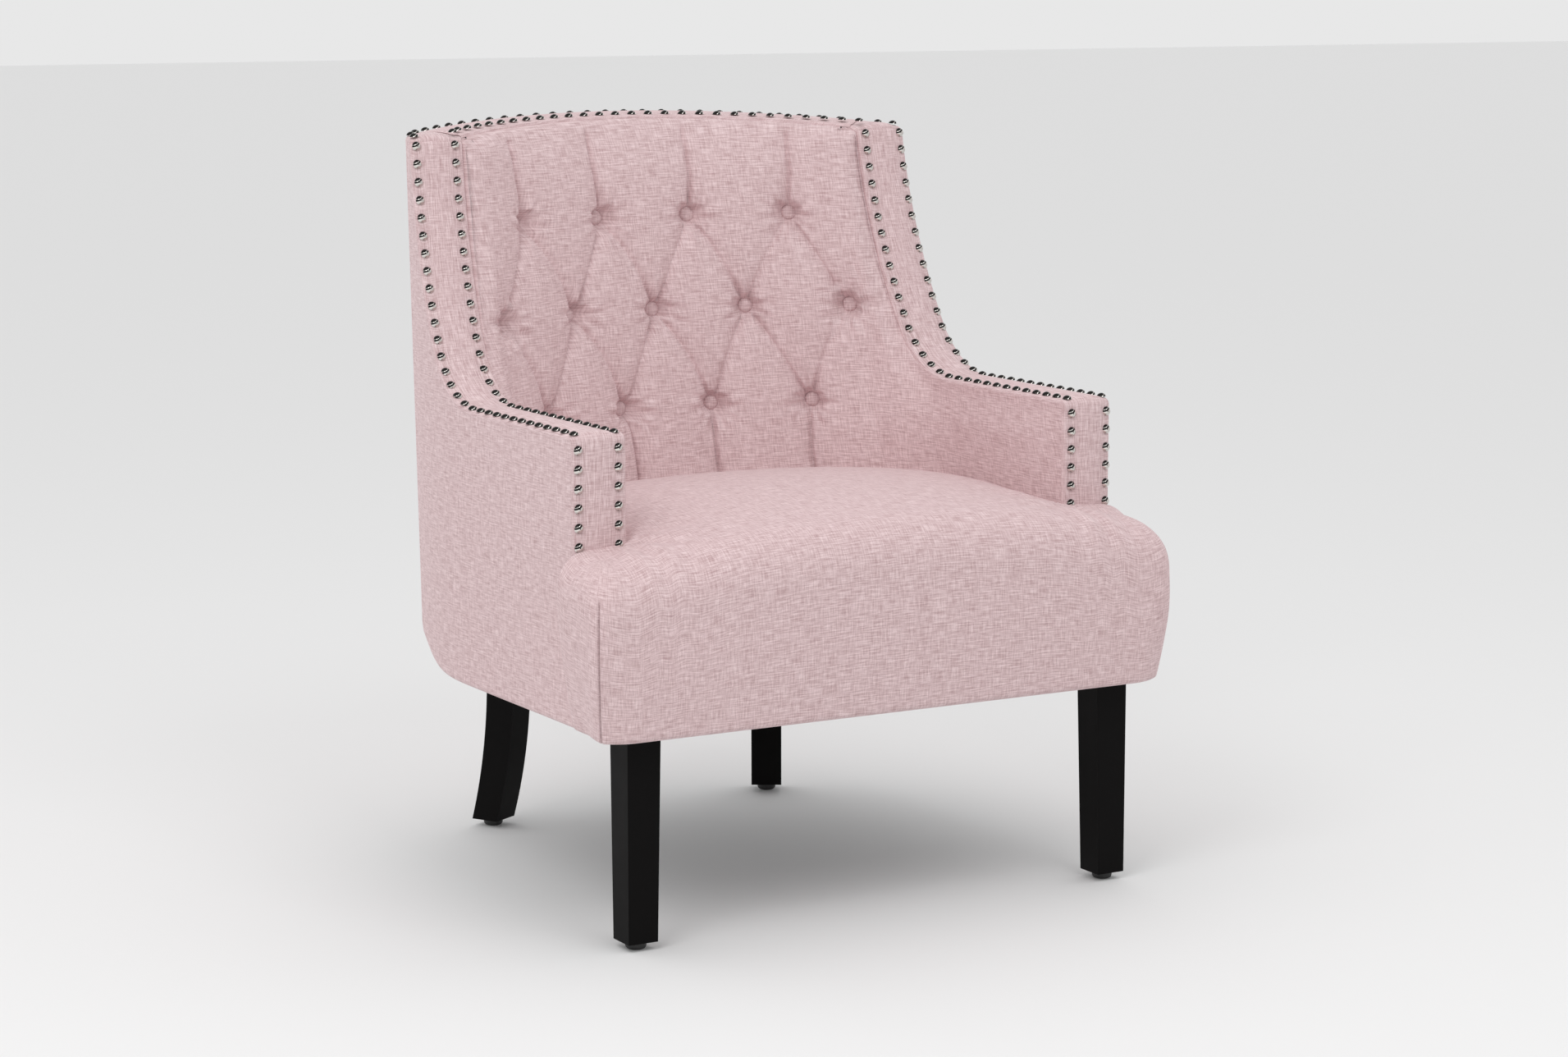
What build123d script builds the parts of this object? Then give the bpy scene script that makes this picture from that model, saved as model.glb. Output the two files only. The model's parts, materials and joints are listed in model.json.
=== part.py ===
from build123d import *
import os
from math import acos, asin, atan2, cos, degrees, hypot, radians, sin, sqrt

# Upholstered armchair with low scooped arms, a button-tufted back and a T-shaped tight seat.
# Millimetres.  +Z is up, the sitter faces -Y, and "left" is -X, as seen from in front.
# The origin is on the floor, under the middle of the overall width and depth.

# ------------------------------------------------------------------ driving dimensions
# Overall shape
overall_depth = 700.0         # front of the seat to the top of the back
back_height = 862.0           # floor to the middle of the top edge
body_width = 693.0            # across the outsides of the arms
seat_overhang = 23.5          # widest part of the seat's front, outside the arms
body_bottom = 233.0           # floor to the underside of the body
arm_height = 551.0            # floor to the top of the arms
arm_setback = 101.0           # seat front to arm front
arm_thickness = 64.5          # arm, wing and top edge, outside to inside

# Plan of the outside, at the height of the underside
back_lean = 0.046             # rearward travel of the outside back per unit of height
side_bend_run = 325.0         # back of the chair to where the straight sides begin to turn inward
side_radius = 650.0
back_radius = 505.0
inner_corner_radius = 6.0     # rear corner, inside the arm thickness
underside_radius = 60.0       # rounding under the rear edge

# Side view of the arm and wing
scoop_run = 348.0             # back of the chair to where the arm top begins to rise
scoop_radius = 118.0
scoop_angle = 60.0
wing_radius = 650.0
wing_angle = 24.0             # turned by the wing above the scoop, before it runs straight
top_crown_rise = 12.0
top_crown_half = 290.0        # half the width over which the top edge falls by that rise
band_seam_height = 838.0      # seam between the side bands and the top band
top_rail_height = 60.0        # lower edge of the back's top rail, below the top

# Seat
seat_crown_height = 462.0
seat_roll_radius = 74.0
seat_roll_top = 449.0
seat_rear_height = 436.0
seat_rear_inset = 218.0       # back of the chair to the middle of the seat's rear edge
seat_crown_run = 250.0        # seat front to the highest part of the seat
seat_side_height = 414.0      # top of the seat where its corner begins to roll over
seat_side_inset = 45.0        # that point, in from the widest part
seat_widest_height = 366.0
seat_bottom_overhang = 5.0    # lower edge of the seat's front, outside the arms
seat_boxing_rise = 24.7       # top of the boxing above the widest part
front_pad = 10.0
seat_deck = 2.0

# Inside back
inside_radius = 470.0
inside_lean = 0.267
inside_face_inset = 117.0     # back of the chair to the padded face, at inside_ref_height
inside_ref_height = 740.0
inside_back_inset = 20.0      # end of the inside back, in from the arm's inside
inside_bottom = 402.0
inside_top = 838.0
foam_thickness = 70.0
foam_top_thickness = 33.0
tack_rail_height = 30.0
inner_post_place = 88.0       # x of the inner back post's middle
outer_post_inset = 47.0       # middle of the outer back post, in from the inside back's end
post_thickness = 20.0
post_clearance = 4.0          # behind the webbing, for the knots of the twine

# Tufting
button_radius = 10.0
button_height = 8.0
button_depth = 31.0           # padded face to the button's back
button_taper = 40.0
tuft_hole_radius = 6.0
tuft_recess_radius = 14.0
# height, outermost button in from the inside back's end, number of buttons
button_rows = ((740.0, 86.5, 4), (629.0, 36.0, 5), (515.0, 89.5, 4))
twine_radius = 1.0
knot_radius = 3.0

# Layers
cover = 3.0                   # fabric with its backing
edge_pad = 6.0
gap = 1.0                     # between parts that only lie against each other
side_board = 15.0             # bent plywood arm and wing panels
frame_depth = 26.0            # posts, arm rails and wing stiles, across the arm
frame_face = 45.0             # the same members, in side view
rail_thickness = 22.0
rail_height = 96.0
seat_rail_setback = 50.0      # rear rail behind the seat's rear edge
rail_clearance = 3.0          # underside of the rails above the dust cover
dust_cover = 1.5
webbing = 2.0
webbing_width = 50.0

# Nails
nail_radius = 5.5
nail_height = 4.0
nail_lift = 0.2               # heads stand this far off the fabric
nail_pitch = 20.9
nail_inset = 6.3              # outer row, in from the outside
nail_inner_inset = 54.0       # inner row, in from the outside
nail_first_drop = 16.0        # first nail below the top of the arm's front
nail_first_back = 10.0        # first nail behind the arm's front
nails_on_arm_front = 6
nails_on_top_front = 28       # between the two corner nails of the wings
nails_on_top_rear = 31

# Legs
front_leg = 40.0
front_leg_foot = 35.5
front_leg_setback = 28.0      # seat front to leg front
front_leg_inset = 24.5        # outer face, in from the arm's outside
rear_leg = 38.0
rear_leg_foot = 36.0
rear_leg_foot_inset = 153.5   # middle of the foot, in from the arm's outside
rear_leg_foot_setback = 67.0  # middle of the foot, in from the back of the chair
rear_leg_turn = 30.0          # of the leg's sweep, outward from straight back
rear_leg_sweep = 25.0         # foot beyond the top
rear_leg_straight = 190.0     # height where the sweep begins
rear_leg_top = 290.0
glide_height = 9.0
glide_radius = 11.5
leg_bolt_radius = 4.0
leg_bolt_length = 50.0
bolt_clearance = 0.3
corner_block = 60.0
corner_block_height = 46.0
rear_block_height = 36.0
nut_radius = 7.5
nut_height = 6.5
washer_radius = 9.0
washer_thickness = 1.6

# Seat springs
spring_count = 5
spring_inset = 58.0           # outermost springs, in from the arms' insides
spring_wire = 1.8             # wire radius
spring_width = 44.0
spring_step = 22.0
spring_bend = 4.4
clip_height = 3.0
clip_width = 16.0

# ------------------------------------------------------------------ derived sizes
half_width = body_width / 2
seat_front = -overall_depth / 2
back_rear = overall_depth / 2
arm_front = seat_front + arm_setback
body_height = back_height - body_bottom
base_rear = back_rear - back_lean * body_height
corner_radius = arm_thickness + inner_corner_radius
arm_inside = half_width - arm_thickness
side_bend_start = back_rear - side_bend_run
scoop_start = back_rear - scoop_run
seat_width = body_width + 2 * seat_overhang
seat_bottom_width = body_width + 2 * seat_bottom_overhang
seat_rear = back_rear - seat_rear_inset
seat_crown_y = seat_front + seat_crown_run
inside_front_y = back_rear - inside_face_inset
inside_half_width = arm_inside - inside_back_inset
post_places = (inner_post_place, inside_half_width - outer_post_inset)
rear_leg_foot_x = half_width - rear_leg_foot_inset
rear_leg_foot_y = back_rear - rear_leg_foot_setback
rail_bottom = body_bottom + rail_clearance
rail_top = rail_bottom + rail_height
spring_height = rail_top + spring_wire
seat_foam_bottom = spring_height + spring_wire + clip_height + seat_deck
pad_inset = cover + edge_pad
board_inset = cover + side_board
frame_inset = board_inset + frame_depth
back_rail_front = seat_rear + seat_rail_setback
back_rail_back = back_rail_front + rail_thickness
far = 2000.0                  # reaches past the chair in every direction
lean_direction = Vector(0, back_lean, 1)
lean_length = hypot(back_lean, 1.0)

# Centres of the arcs in the outside plan, for the right-hand half
side_centre = (half_width - side_radius, side_bend_start)
back_centre = (0.0, base_rear - back_radius)
centre_gap = hypot(side_centre[0] - back_centre[0], side_centre[1] - back_centre[1])
to_side = side_radius - corner_radius
to_back = back_radius - corner_radius
along = (to_side**2 - to_back**2 + centre_gap**2) / (2 * centre_gap)
across = sqrt(to_side**2 - along**2)
unit = ((back_centre[0] - side_centre[0]) / centre_gap, (back_centre[1] - side_centre[1]) / centre_gap)
corner_centre = (
    side_centre[0] + along * unit[0] - across * unit[1],
    side_centre[1] + along * unit[1] + across * unit[0],
)
side_angle = degrees(atan2(corner_centre[1] - side_centre[1], corner_centre[0] - side_centre[0]))
back_angle = degrees(atan2(corner_centre[1] - back_centre[1], corner_centre[0] - back_centre[0]))
side_zone_end = side_centre[1] + side_radius * sin(radians(side_angle))

# Centres of the arcs in the side view, as (y, z)
scoop_centre = (scoop_start, arm_height + scoop_radius)
wing_centre = (
    scoop_centre[0] + (scoop_radius - wing_radius) * sin(radians(scoop_angle)),
    scoop_centre[1] - (scoop_radius - wing_radius) * cos(radians(scoop_angle)),
)
crown_radius = (top_crown_half**2 + top_crown_rise**2) / (2 * top_crown_rise)


def rear_of(inset, x, z):
    """y of the outside back, set in by inset, at a given x and height."""
    radius = back_radius - inset
    return back_centre[1] + sqrt(radius**2 - x**2) + back_lean * (z - body_bottom)


def side_of(inset, y, z):
    """x of the outside of the right-hand arm or wing, set in by inset, at a given y and height."""
    along_bend = y - back_lean * (z - body_bottom) - side_centre[1]
    if along_bend <= 0:
        return half_width - inset
    return side_centre[0] + sqrt((side_radius - inset) ** 2 - along_bend**2)


def face_middle(z):
    """y of the middle of the inside back's padded face, at a given height."""
    return inside_front_y + inside_lean * (z - inside_ref_height)


def inside_of(x, z, depth=0.0):
    """y of the inside back's padded face, or of a layer behind it, at a given x and height."""
    return face_middle(z) - inside_radius + sqrt((inside_radius + depth) ** 2 - x**2)


def wing_front_of(inset, z):
    """y of the wing's front edge, set in by inset, at a given height above the scoop."""
    return wing_centre[0] + sqrt((wing_radius + inset) ** 2 - (wing_centre[1] - z) ** 2)


# ------------------------------------------------------------------ shared outlines and blocks
def plan_outline(inset):
    """Plan of the body at its underside, set in by inset, closed across the front of the seat."""
    with BuildSketch() as outline:
        with BuildLine():
            Line((0, seat_front), (half_width - inset, seat_front))
            Line((half_width - inset, seat_front), (half_width - inset, side_bend_start))
            CenterArc(side_centre, side_radius - inset, 0, side_angle)
            CenterArc(corner_centre, corner_radius - inset, side_angle, back_angle - side_angle)
            CenterArc(back_centre, back_radius - inset, back_angle, 90 - back_angle)
            mirror(about=Plane.YZ)
        make_face()
    return outline.sketch


def side_outline(inset):
    """Side view of the arm, scoop and wing, set in by inset and left open behind and above."""
    front = arm_front + inset
    with BuildSketch() as outline:
        with BuildLine():
            Line((front, body_bottom), (front, arm_height - inset))
            Line((front, arm_height - inset), (scoop_start, arm_height - inset))
            CenterArc(scoop_centre, scoop_radius + inset, -90, scoop_angle)
            wing = CenterArc(wing_centre, wing_radius + inset, scoop_angle - 90, wing_angle)
            rise = Line(wing @ 1, (wing @ 1) + (wing % 1) * far)
            Line(rise @ 1, (far, (rise @ 1).Y))
            Line((far, (rise @ 1).Y), (far, body_bottom))
            Line((far, body_bottom), (front, body_bottom))
        make_face()
    return outline.sketch


def crown_outline(inset):
    """Front view of everything under the crowned top edge, set in by inset."""
    with BuildSketch() as outline:
        with Locations((0, back_height - crown_radius)):
            Circle(crown_radius - inset)
        with Locations((0, back_height - far / 2)):
            Rectangle(far, far, mode=Mode.INTERSECT)
    return outline.sketch


def underside_outline(inset):
    """Half section of what is cleared away under the rear edge, drawn out from the back's axis."""
    centre_y = back_centre[1] + back_radius - underside_radius + back_lean * underside_radius
    centre_z = body_bottom + underside_radius
    reach = centre_y + far
    with BuildSketch() as outline:
        with BuildLine():
            CenterArc((centre_y, centre_z), underside_radius - inset, -90, 90)
            Line((centre_y + underside_radius - inset, centre_z), (reach, centre_z))
            Line((reach, centre_z), (reach, body_bottom - far))
            Line((reach, body_bottom - far), (centre_y, body_bottom - far))
            Line((centre_y, body_bottom - far), (centre_y, centre_z - underside_radius + inset))
        make_face()
    return outline.sketch


def body_block(plan_inset, edge_inset):
    """The arms, wings and back as one block, set in from the outside and from the edge band."""
    with BuildPart() as block:
        with BuildSketch(Plane.XY.offset(body_bottom)):
            add(plan_outline(plan_inset))
        extrude(amount=(body_height + edge_pad) * lean_length, dir=lean_direction)
        with BuildSketch(Plane.YZ):
            add(side_outline(edge_inset))
        extrude(amount=body_width, both=True, mode=Mode.INTERSECT)
        with BuildSketch(Plane.XZ):
            add(crown_outline(edge_inset))
        extrude(amount=far, both=True, mode=Mode.INTERSECT)
        if plan_inset <= board_inset:   # deeper layers stop short of the rounded rear edge
            with BuildSketch(Plane.YZ):
                add(underside_outline(plan_inset))
            revolve(axis=Axis((0, back_centre[1], 0), (0, 0, 1)), mode=Mode.SUBTRACT)
    return block.part


def room(inset):
    """The space inside the walls, as a leaning column set in by inset from the outside."""
    with BuildPart() as column:
        with BuildSketch(Plane.XY.offset(body_bottom)):
            add(plan_outline(inset))
        extrude(amount=far * lean_length, dir=lean_direction)
    return column.part


def zone(side, low=0.0, high=far):
    """Everything between two heights on one side: left or right of the rear seams, or behind them."""
    with BuildPart() as region:
        with BuildSketch(Plane.XY.offset(body_bottom)):
            if side == "back":
                with Locations((0, side_zone_end + far / 2)):
                    Rectangle(far, far)
            else:
                with Locations((far / 2, side_zone_end - far / 2)):
                    Rectangle(far, far)
        extrude(amount=far * lean_length, dir=lean_direction)
        if side == "left":
            mirror(about=Plane.YZ, mode=Mode.REPLACE)
        with Locations((0, 0, (low + high) / 2)):
            Box(far, 2 * far, high - low, mode=Mode.INTERSECT)
    return region.part


def write(part, name):
    """Label a finished piece and write it to its own file."""
    part.label = name
    export_step(part, f"parts/{name}.step")


def write_pair(part, name):
    """Write a right-hand piece and its mirror image."""
    write(part, f"{name}_right")
    write(mirror(part, about=Plane.YZ), f"{name}_left")


os.makedirs("parts", exist_ok=True)

outer = body_block(0, 0)
under_cover = body_block(0, cover)
inside_cover_block = body_block(cover, cover)
padded_edge = body_block(cover, pad_inset)


# ------------------------------------------------------------------ arm and wing, one side each
def wall_piece(outside, inside, hollow, side, low=0.0, high=far):
    """What lies in one block, outside another and outside the room within a wall."""
    with BuildPart() as piece:
        add(outside)
        add(zone(side, low, high), mode=Mode.INTERSECT)
        if inside is not None:
            add(inside, mode=Mode.SUBTRACT)
        if hollow is not None:
            add(room(hollow), mode=Mode.SUBTRACT)
    return piece.part


edge_band = wall_piece(
    outer, under_cover, arm_thickness, "right", low=seat_foam_bottom, high=band_seam_height
)
write_pair(edge_band, "edge_band")
edge_padding = wall_piece(
    inside_cover_block, padded_edge, arm_thickness - cover, "right", low=seat_foam_bottom
)
write_pair(edge_padding, "edge_pad")
write_pair(wall_piece(under_cover, inside_cover_block, None, "right"), "outside_arm_cover")
write_pair(wall_piece(padded_edge, None, board_inset, "right", low=rail_bottom), "side_panel")

arm_frame = wall_piece(
    body_block(board_inset, pad_inset),
    body_block(board_inset, pad_inset + frame_face),
    frame_inset,
    "right",
    low=rail_bottom,
)
with BuildPart() as arm_post:
    add(arm_frame)
    with Locations((0, arm_front + pad_inset + frame_face - far / 2, 0)):
        Box(far, far, far, mode=Mode.INTERSECT)
with BuildPart() as arm_rail:
    add(arm_frame)
    with Locations((0, (arm_front + pad_inset + frame_face + scoop_start) / 2, arm_height)):
        rail_length = scoop_start - arm_front - pad_inset - frame_face
        Box(far, rail_length, far, mode=Mode.INTERSECT)
with BuildPart() as wing_stile:
    add(arm_frame)
    with Locations((0, scoop_start + far / 2, 0)):
        Box(far, far, far, mode=Mode.INTERSECT)
write_pair(arm_post.part, "arm_post")
write_pair(arm_rail.part, "arm_rail")
write_pair(wing_stile.part, "wing_stile")


def inside_arm_piece(outside, hollow):
    """A layer on the inside of the arm and wing, ending beside the back's padding."""
    with BuildPart() as piece:
        add(wall_piece(outside, None, hollow, "right", low=seat_foam_bottom))
        with Locations((inside_half_width + gap + far / 2, 0, 0)):
            Box(far, far, far, mode=Mode.INTERSECT)
    return piece.part


write_pair(inside_arm_piece(body_block(frame_inset, pad_inset), arm_thickness - cover), "inside_arm_pad")
write_pair(inside_arm_piece(body_block(arm_thickness - cover, cover), arm_thickness), "inside_arm_cover")

# ------------------------------------------------------------------ back
with BuildPart() as top_band:
    add(outer)
    add(under_cover, mode=Mode.SUBTRACT)
    add(room(arm_thickness), mode=Mode.SUBTRACT)
    with Locations((0, 0, band_seam_height + far / 2)):
        Box(far, far, far, mode=Mode.INTERSECT)
write(top_band.part, "top_band")

top_pad = wall_piece(inside_cover_block, padded_edge, arm_thickness - cover, "back", low=rail_top)
write(top_pad, "top_pad")

top_rail = wall_piece(padded_edge, None, frame_inset, "back", low=back_height - top_rail_height)
write(top_rail, "back_top_rail")


def foam_depth(z):
    """Thickness of the back's foam with its cover, at a given height."""
    share = (z - inside_bottom) / (inside_top - inside_bottom)
    return foam_thickness + share * (foam_top_thickness - foam_thickness)


def slab_section(height, front, back, half):
    """Plan of a slab behind the padded face: two arcs about one centre, joined at the ends."""
    centre = (0, face_middle(height) - inside_radius)
    with BuildSketch(Plane.XY.offset(height)) as section:
        with BuildLine():
            ends = []
            for depth in (front, back):
                radius = inside_radius + depth
                angle = degrees(acos(half / radius))
                ends.append(CenterArc(centre, radius, angle, 180 - 2 * angle))
            Line(ends[0] @ 0, ends[1] @ 0)
            Line(ends[0] @ 1, ends[1] @ 1)
        make_face()
    return section.sketch


def inside_slab(bottom, top, front, back, half=inside_half_width):
    """A curved, leaning slab; front and back give its depths at the bottom and at the top."""
    with BuildPart() as slab:
        loft([
            slab_section(bottom, front[0], back[0], half),
            slab_section(top, front[1], back[1], half),
        ])
    return slab.part


button_places = []
for row_height, end_inset, count in button_rows:
    outermost = inside_half_width - end_inset
    for index in range(count):
        button_places.append(((2 * index / (count - 1) - 1) * outermost, row_height))
upright_places = [x for x, z in button_places if z == button_rows[1][0]]


def along_tufts(radius, start, end, part):
    """Cut a straight hole, front to back, from one depth behind the padded face to another."""
    with BuildPart() as bored:
        add(part)
        for x, z in button_places:
            with BuildSketch(Plane((x, inside_of(x, z) + start, z), x_dir=(1, 0, 0), z_dir=(0, 1, 0))):
                Circle(radius)
            extrude(amount=end - start, mode=Mode.SUBTRACT)
    return bored.part


foam_back = (foam_thickness, foam_top_thickness)
inside_cover = inside_slab(inside_bottom, inside_top, (0, 0), (cover, cover))
write(along_tufts(tuft_recess_radius, -foam_thickness, 2 * cover, inside_cover), "inside_back_cover")

back_foam = inside_slab(inside_bottom, inside_top, (cover, cover), foam_back)
back_foam = along_tufts(tuft_recess_radius, -cover, button_depth, back_foam)
back_foam = along_tufts(tuft_hole_radius, 0, 2 * foam_thickness, back_foam)
write(back_foam, "back_foam")

# Covered buttons, held by twine that runs through the foam and the webbing to a knot behind it
with BuildPart() as buttons:
    for x, z in button_places:
        back_face = inside_of(x, z) + button_depth
        with BuildSketch(Plane((x, back_face, z), x_dir=(1, 0, 0), z_dir=(0, -1, 0))):
            Circle(button_radius)
        extrude(amount=button_height / 2)
        with BuildSketch(Plane((x, back_face - button_height / 2, z), x_dir=(1, 0, 0), z_dir=(0, -1, 0))):
            Circle(button_radius)
        extrude(amount=button_height / 2, taper=button_taper)
write(buttons.part, "tuft_buttons")

with BuildPart() as twine:
    for x, z in button_places:
        start = inside_of(x, z) + button_depth
        end = inside_of(x, z) + foam_depth(z) + webbing
        with BuildSketch(Plane((x, start, z), x_dir=(1, 0, 0), z_dir=(0, 1, 0))):
            Circle(twine_radius)
        extrude(amount=end + knot_radius - start)
        with Locations((x, end + knot_radius + twine_radius, z)):
            Sphere(knot_radius)
write(twine.part, "tuft_twine")

# Webbing straps behind the foam: upright ones pass each column of buttons, level ones each row
webbing_slab = inside_slab(
    inside_bottom,
    inside_top,
    (foam_thickness, foam_top_thickness),
    (foam_thickness + webbing, foam_top_thickness + webbing),
)
with BuildPart() as back_webbing:
    add(webbing_slab)
    with BuildPart(mode=Mode.INTERSECT):
        for x in upright_places:
            with Locations((x, 0, back_height)):
                Box(webbing_width, far, far)
        for row_height, end_inset, count in button_rows:
            with Locations((0, 0, row_height)):
                Box(far, far, webbing_width)
write(along_tufts(tuft_hole_radius, 0, 2 * foam_thickness, back_webbing.part), "back_webbing")

tack_rail = inside_slab(
    inside_bottom - gap - tack_rail_height, inside_bottom - gap, (0, 0), (rail_thickness, rail_thickness)
)
write(tack_rail, "back_tack_rail")


def back_post(middle):
    """An upright plywood rib behind the seat's rear rail, reaching forward to the tack rail."""
    inner = middle - post_thickness / 2
    outer = middle + post_thickness / 2
    foot = body_bottom + underside_radius
    shelf = seat_foam_bottom + gap
    ledge = inside_bottom - gap
    top = back_height - top_rail_height - gap
    tack_back = inside_of(inner, ledge, rail_thickness) + gap
    with BuildPart() as post:
        with BuildSketch(Plane.YZ.offset(inner)):
            with BuildLine():
                Polyline(
                    (back_rail_back, foot),
                    (back_rail_back, shelf),
                    (tack_back, shelf),
                    (tack_back, ledge),
                    (inside_of(inner, ledge, foam_thickness + webbing) + post_clearance, ledge),
                    (inside_of(inner, top, foam_depth(top) + webbing) + post_clearance, top),
                    (rear_of(cover + gap, outer, top), top),
                    (rear_of(cover + gap, outer, foot), foot),
                    close=True,
                )
            make_face()
        extrude(amount=post_thickness)
    return post.part


for name, middle in zip(("back_post_inner", "back_post_outer"), post_places):
    write_pair(back_post(middle), name)


# ------------------------------------------------------------------ seat
def seat_side_view(inset):
    """Side view of the seat: upright front, rolled edge and crowned top."""
    front = seat_front + inset
    roll_end = seat_front + seat_roll_radius
    roll_start = seat_roll_top - seat_roll_radius
    with BuildSketch() as view:
        with BuildLine():
            Line((front, body_bottom), (front, roll_start))
            TangentArc((front, roll_start), (roll_end, seat_roll_top - inset), tangent=(0, 1))
            ThreePointArc(
                (roll_end, seat_roll_top - inset),
                (seat_crown_y, seat_crown_height - inset),
                (seat_rear, seat_rear_height - inset),
            )
            Line((seat_rear, seat_rear_height - inset), (seat_rear, body_bottom))
            Line((seat_rear, body_bottom), (front, body_bottom))
        make_face()
    return view.sketch


def seat_front_view(inset):
    """Front view of the seat: sides that swell above the underside, rolled corners, crowned top."""
    widest = seat_width / 2
    bottom = seat_bottom_width / 2 - inset
    corner = widest - seat_side_inset
    corner_height = seat_side_height - inset
    with BuildSketch() as view:
        with BuildLine():
            Line((0, body_bottom), (bottom, body_bottom))
            side = TangentArc((widest - inset, seat_widest_height), (bottom, body_bottom), tangent=(0, -1))
            TangentArc(side @ 0, (corner, corner_height), tangent=(0, 1))
            ThreePointArc(
                (corner, corner_height),
                (0, seat_crown_height - inset),
                (-corner, corner_height),
            )
            TangentArc((-widest + inset, seat_widest_height), (-corner, corner_height), tangent=(0, 1))
            TangentArc((-widest + inset, seat_widest_height), (-bottom, body_bottom), tangent=(0, -1))
            Line((-bottom, body_bottom), (0, body_bottom))
        make_face()
    return view.sketch


def seat_plan(inset):
    """Plan of the seat: a bar across the arm fronts and a tongue between the arms."""
    tongue_half = arm_inside - gap - inset
    bar_rear = arm_front - gap - inset
    rear_centre = (0, seat_rear - inset - inside_radius)
    with BuildSketch() as plan:
        Circle(inside_radius)
        Rectangle(2 * tongue_half, far, mode=Mode.INTERSECT)
    with BuildSketch() as tee:
        with Locations(rear_centre):
            add(plan.sketch)
        with Locations((0, bar_rear - far / 2)):
            Rectangle(far, far)
    return tee.sketch


def seat_block(inset):
    """The upholstered seat as one block, set in from its outside."""
    with BuildPart() as block:
        with BuildSketch(Plane.YZ):
            add(seat_side_view(inset))
        extrude(amount=seat_width, both=True)
        with BuildSketch(Plane.XZ):
            add(seat_front_view(inset))
        extrude(amount=far, both=True, mode=Mode.INTERSECT)
        with BuildSketch():
            add(seat_plan(inset))
        extrude(amount=far, mode=Mode.INTERSECT)
    return block.part


seat_outside = seat_block(0)
seat_inside = seat_block(cover)
boxing_inside = seat_bottom_width / 2 - cover
boxing_top = seat_widest_height + seat_boxing_rise

with BuildPart() as seat_shell:
    add(seat_outside)
    add(seat_inside, mode=Mode.SUBTRACT)
    with Locations((0, arm_front - gap - cover + far / 2, seat_foam_bottom - far / 2)):
        Box(body_width, far + gap, far, mode=Mode.SUBTRACT)

with BuildPart() as seat_cover:
    add(seat_shell.part)
    for side in (-1, 1):
        with Locations((side * (boxing_inside + far / 2), 0, boxing_top - far / 2)):
            Box(far, far, far, mode=Mode.SUBTRACT)
write(seat_cover.part, "seat_cover")

with BuildPart() as seat_boxing:
    add(seat_shell.part)
    with Locations((boxing_inside + far / 2, 0, boxing_top - far / 2)):
        Box(far, far, far, mode=Mode.INTERSECT)
write_pair(seat_boxing.part, "seat_boxing")

with BuildPart() as seat_foam:
    add(seat_inside)
    with Locations((0, 0, seat_foam_bottom + far / 2)):
        Box(far, far, far, mode=Mode.INTERSECT)
write(seat_foam.part, "seat_foam")

front_rail_y = seat_front + cover + front_pad
with BuildPart() as front_rail_pad:
    add(seat_inside)
    with Locations((0, front_rail_y - far / 2, seat_foam_bottom - far / 2)):
        Box(seat_bottom_width - 2 * cover, far, far, mode=Mode.INTERSECT)
    with Locations((0, 0, rail_bottom + far / 2)):
        Box(far, far, far, mode=Mode.INTERSECT)
write(front_rail_pad.part, "front_rail_pad")

with BuildPart() as deck:
    with BuildSketch(Plane.XY.offset(seat_foam_bottom - seat_deck)):
        deck_half = arm_inside - gap
        with Locations((0, (front_rail_y + seat_rear) / 2)):
            Rectangle(2 * deck_half, seat_rear - front_rail_y)
    extrude(amount=seat_deck)
write(deck.part, "seat_deck")


# ------------------------------------------------------------------ seat frame
frame_space = body_block(cover + gap, -arm_setback)    # clear of the covers and the rounded rear edge


def board(low, high):
    """A straight rectangular member between two corners."""
    with BuildPart() as member:
        with Locations(((low[0] + high[0]) / 2, (low[1] + high[1]) / 2, (low[2] + high[2]) / 2)):
            Box(high[0] - low[0], high[1] - low[1], high[2] - low[2])
    return member.part


def fitted(member):
    """A member trimmed to lie inside the covers."""
    with BuildPart() as trimmed:
        add(member)
        add(frame_space, mode=Mode.INTERSECT)
    return trimmed.part


rail_half = seat_bottom_width / 2 - cover - gap
front_rail_back = front_rail_y + rail_thickness
write(
    board((-rail_half, front_rail_y, rail_bottom), (rail_half, front_rail_back, rail_top)),
    "seat_front_rail",
)

back_rail_half = side_of(board_inset, back_rail_back, rail_bottom) - gap
back_rail = board(
    (-back_rail_half, back_rail_front, rail_bottom),
    (back_rail_half, back_rail_back, rail_top),
)
write(fitted(back_rail), "seat_back_rail")

side_rail_outside = half_width - frame_inset
side_rail_inside = side_rail_outside - rail_thickness
front_block_back = front_rail_back + corner_block
side_rail = board(
    (side_rail_inside, front_block_back, rail_bottom),
    (side_rail_outside, back_rail_front, rail_top),
)
write_pair(fitted(side_rail), "seat_side_rail")

front_leg_x = half_width - front_leg_inset - front_leg / 2
front_leg_y = seat_front + front_leg_setback + front_leg / 2
flare = Vector(sin(radians(rear_leg_turn)), cos(radians(rear_leg_turn)), 0)
rear_leg_x = rear_leg_foot_x - rear_leg_sweep * flare.X
rear_leg_y = rear_leg_foot_y - rear_leg_sweep * flare.Y
block_half = corner_block / 2
bolt_hole = leg_bolt_radius + bolt_clearance


def corner_piece(low, high, bolt_x, bolt_y):
    """A corner block, bored for the leg's bolt."""
    with BuildPart() as block:
        add(board(low, high))
        with Locations((bolt_x, bolt_y, high[2])):
            Hole(bolt_hole)
    return block.part


front_block = corner_piece(
    (front_leg_x - block_half, front_rail_back, rail_bottom),
    (front_leg_x + block_half, front_block_back, rail_bottom + corner_block_height),
    front_leg_x,
    front_leg_y,
)
write_pair(front_block, "corner_block_front")

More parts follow.
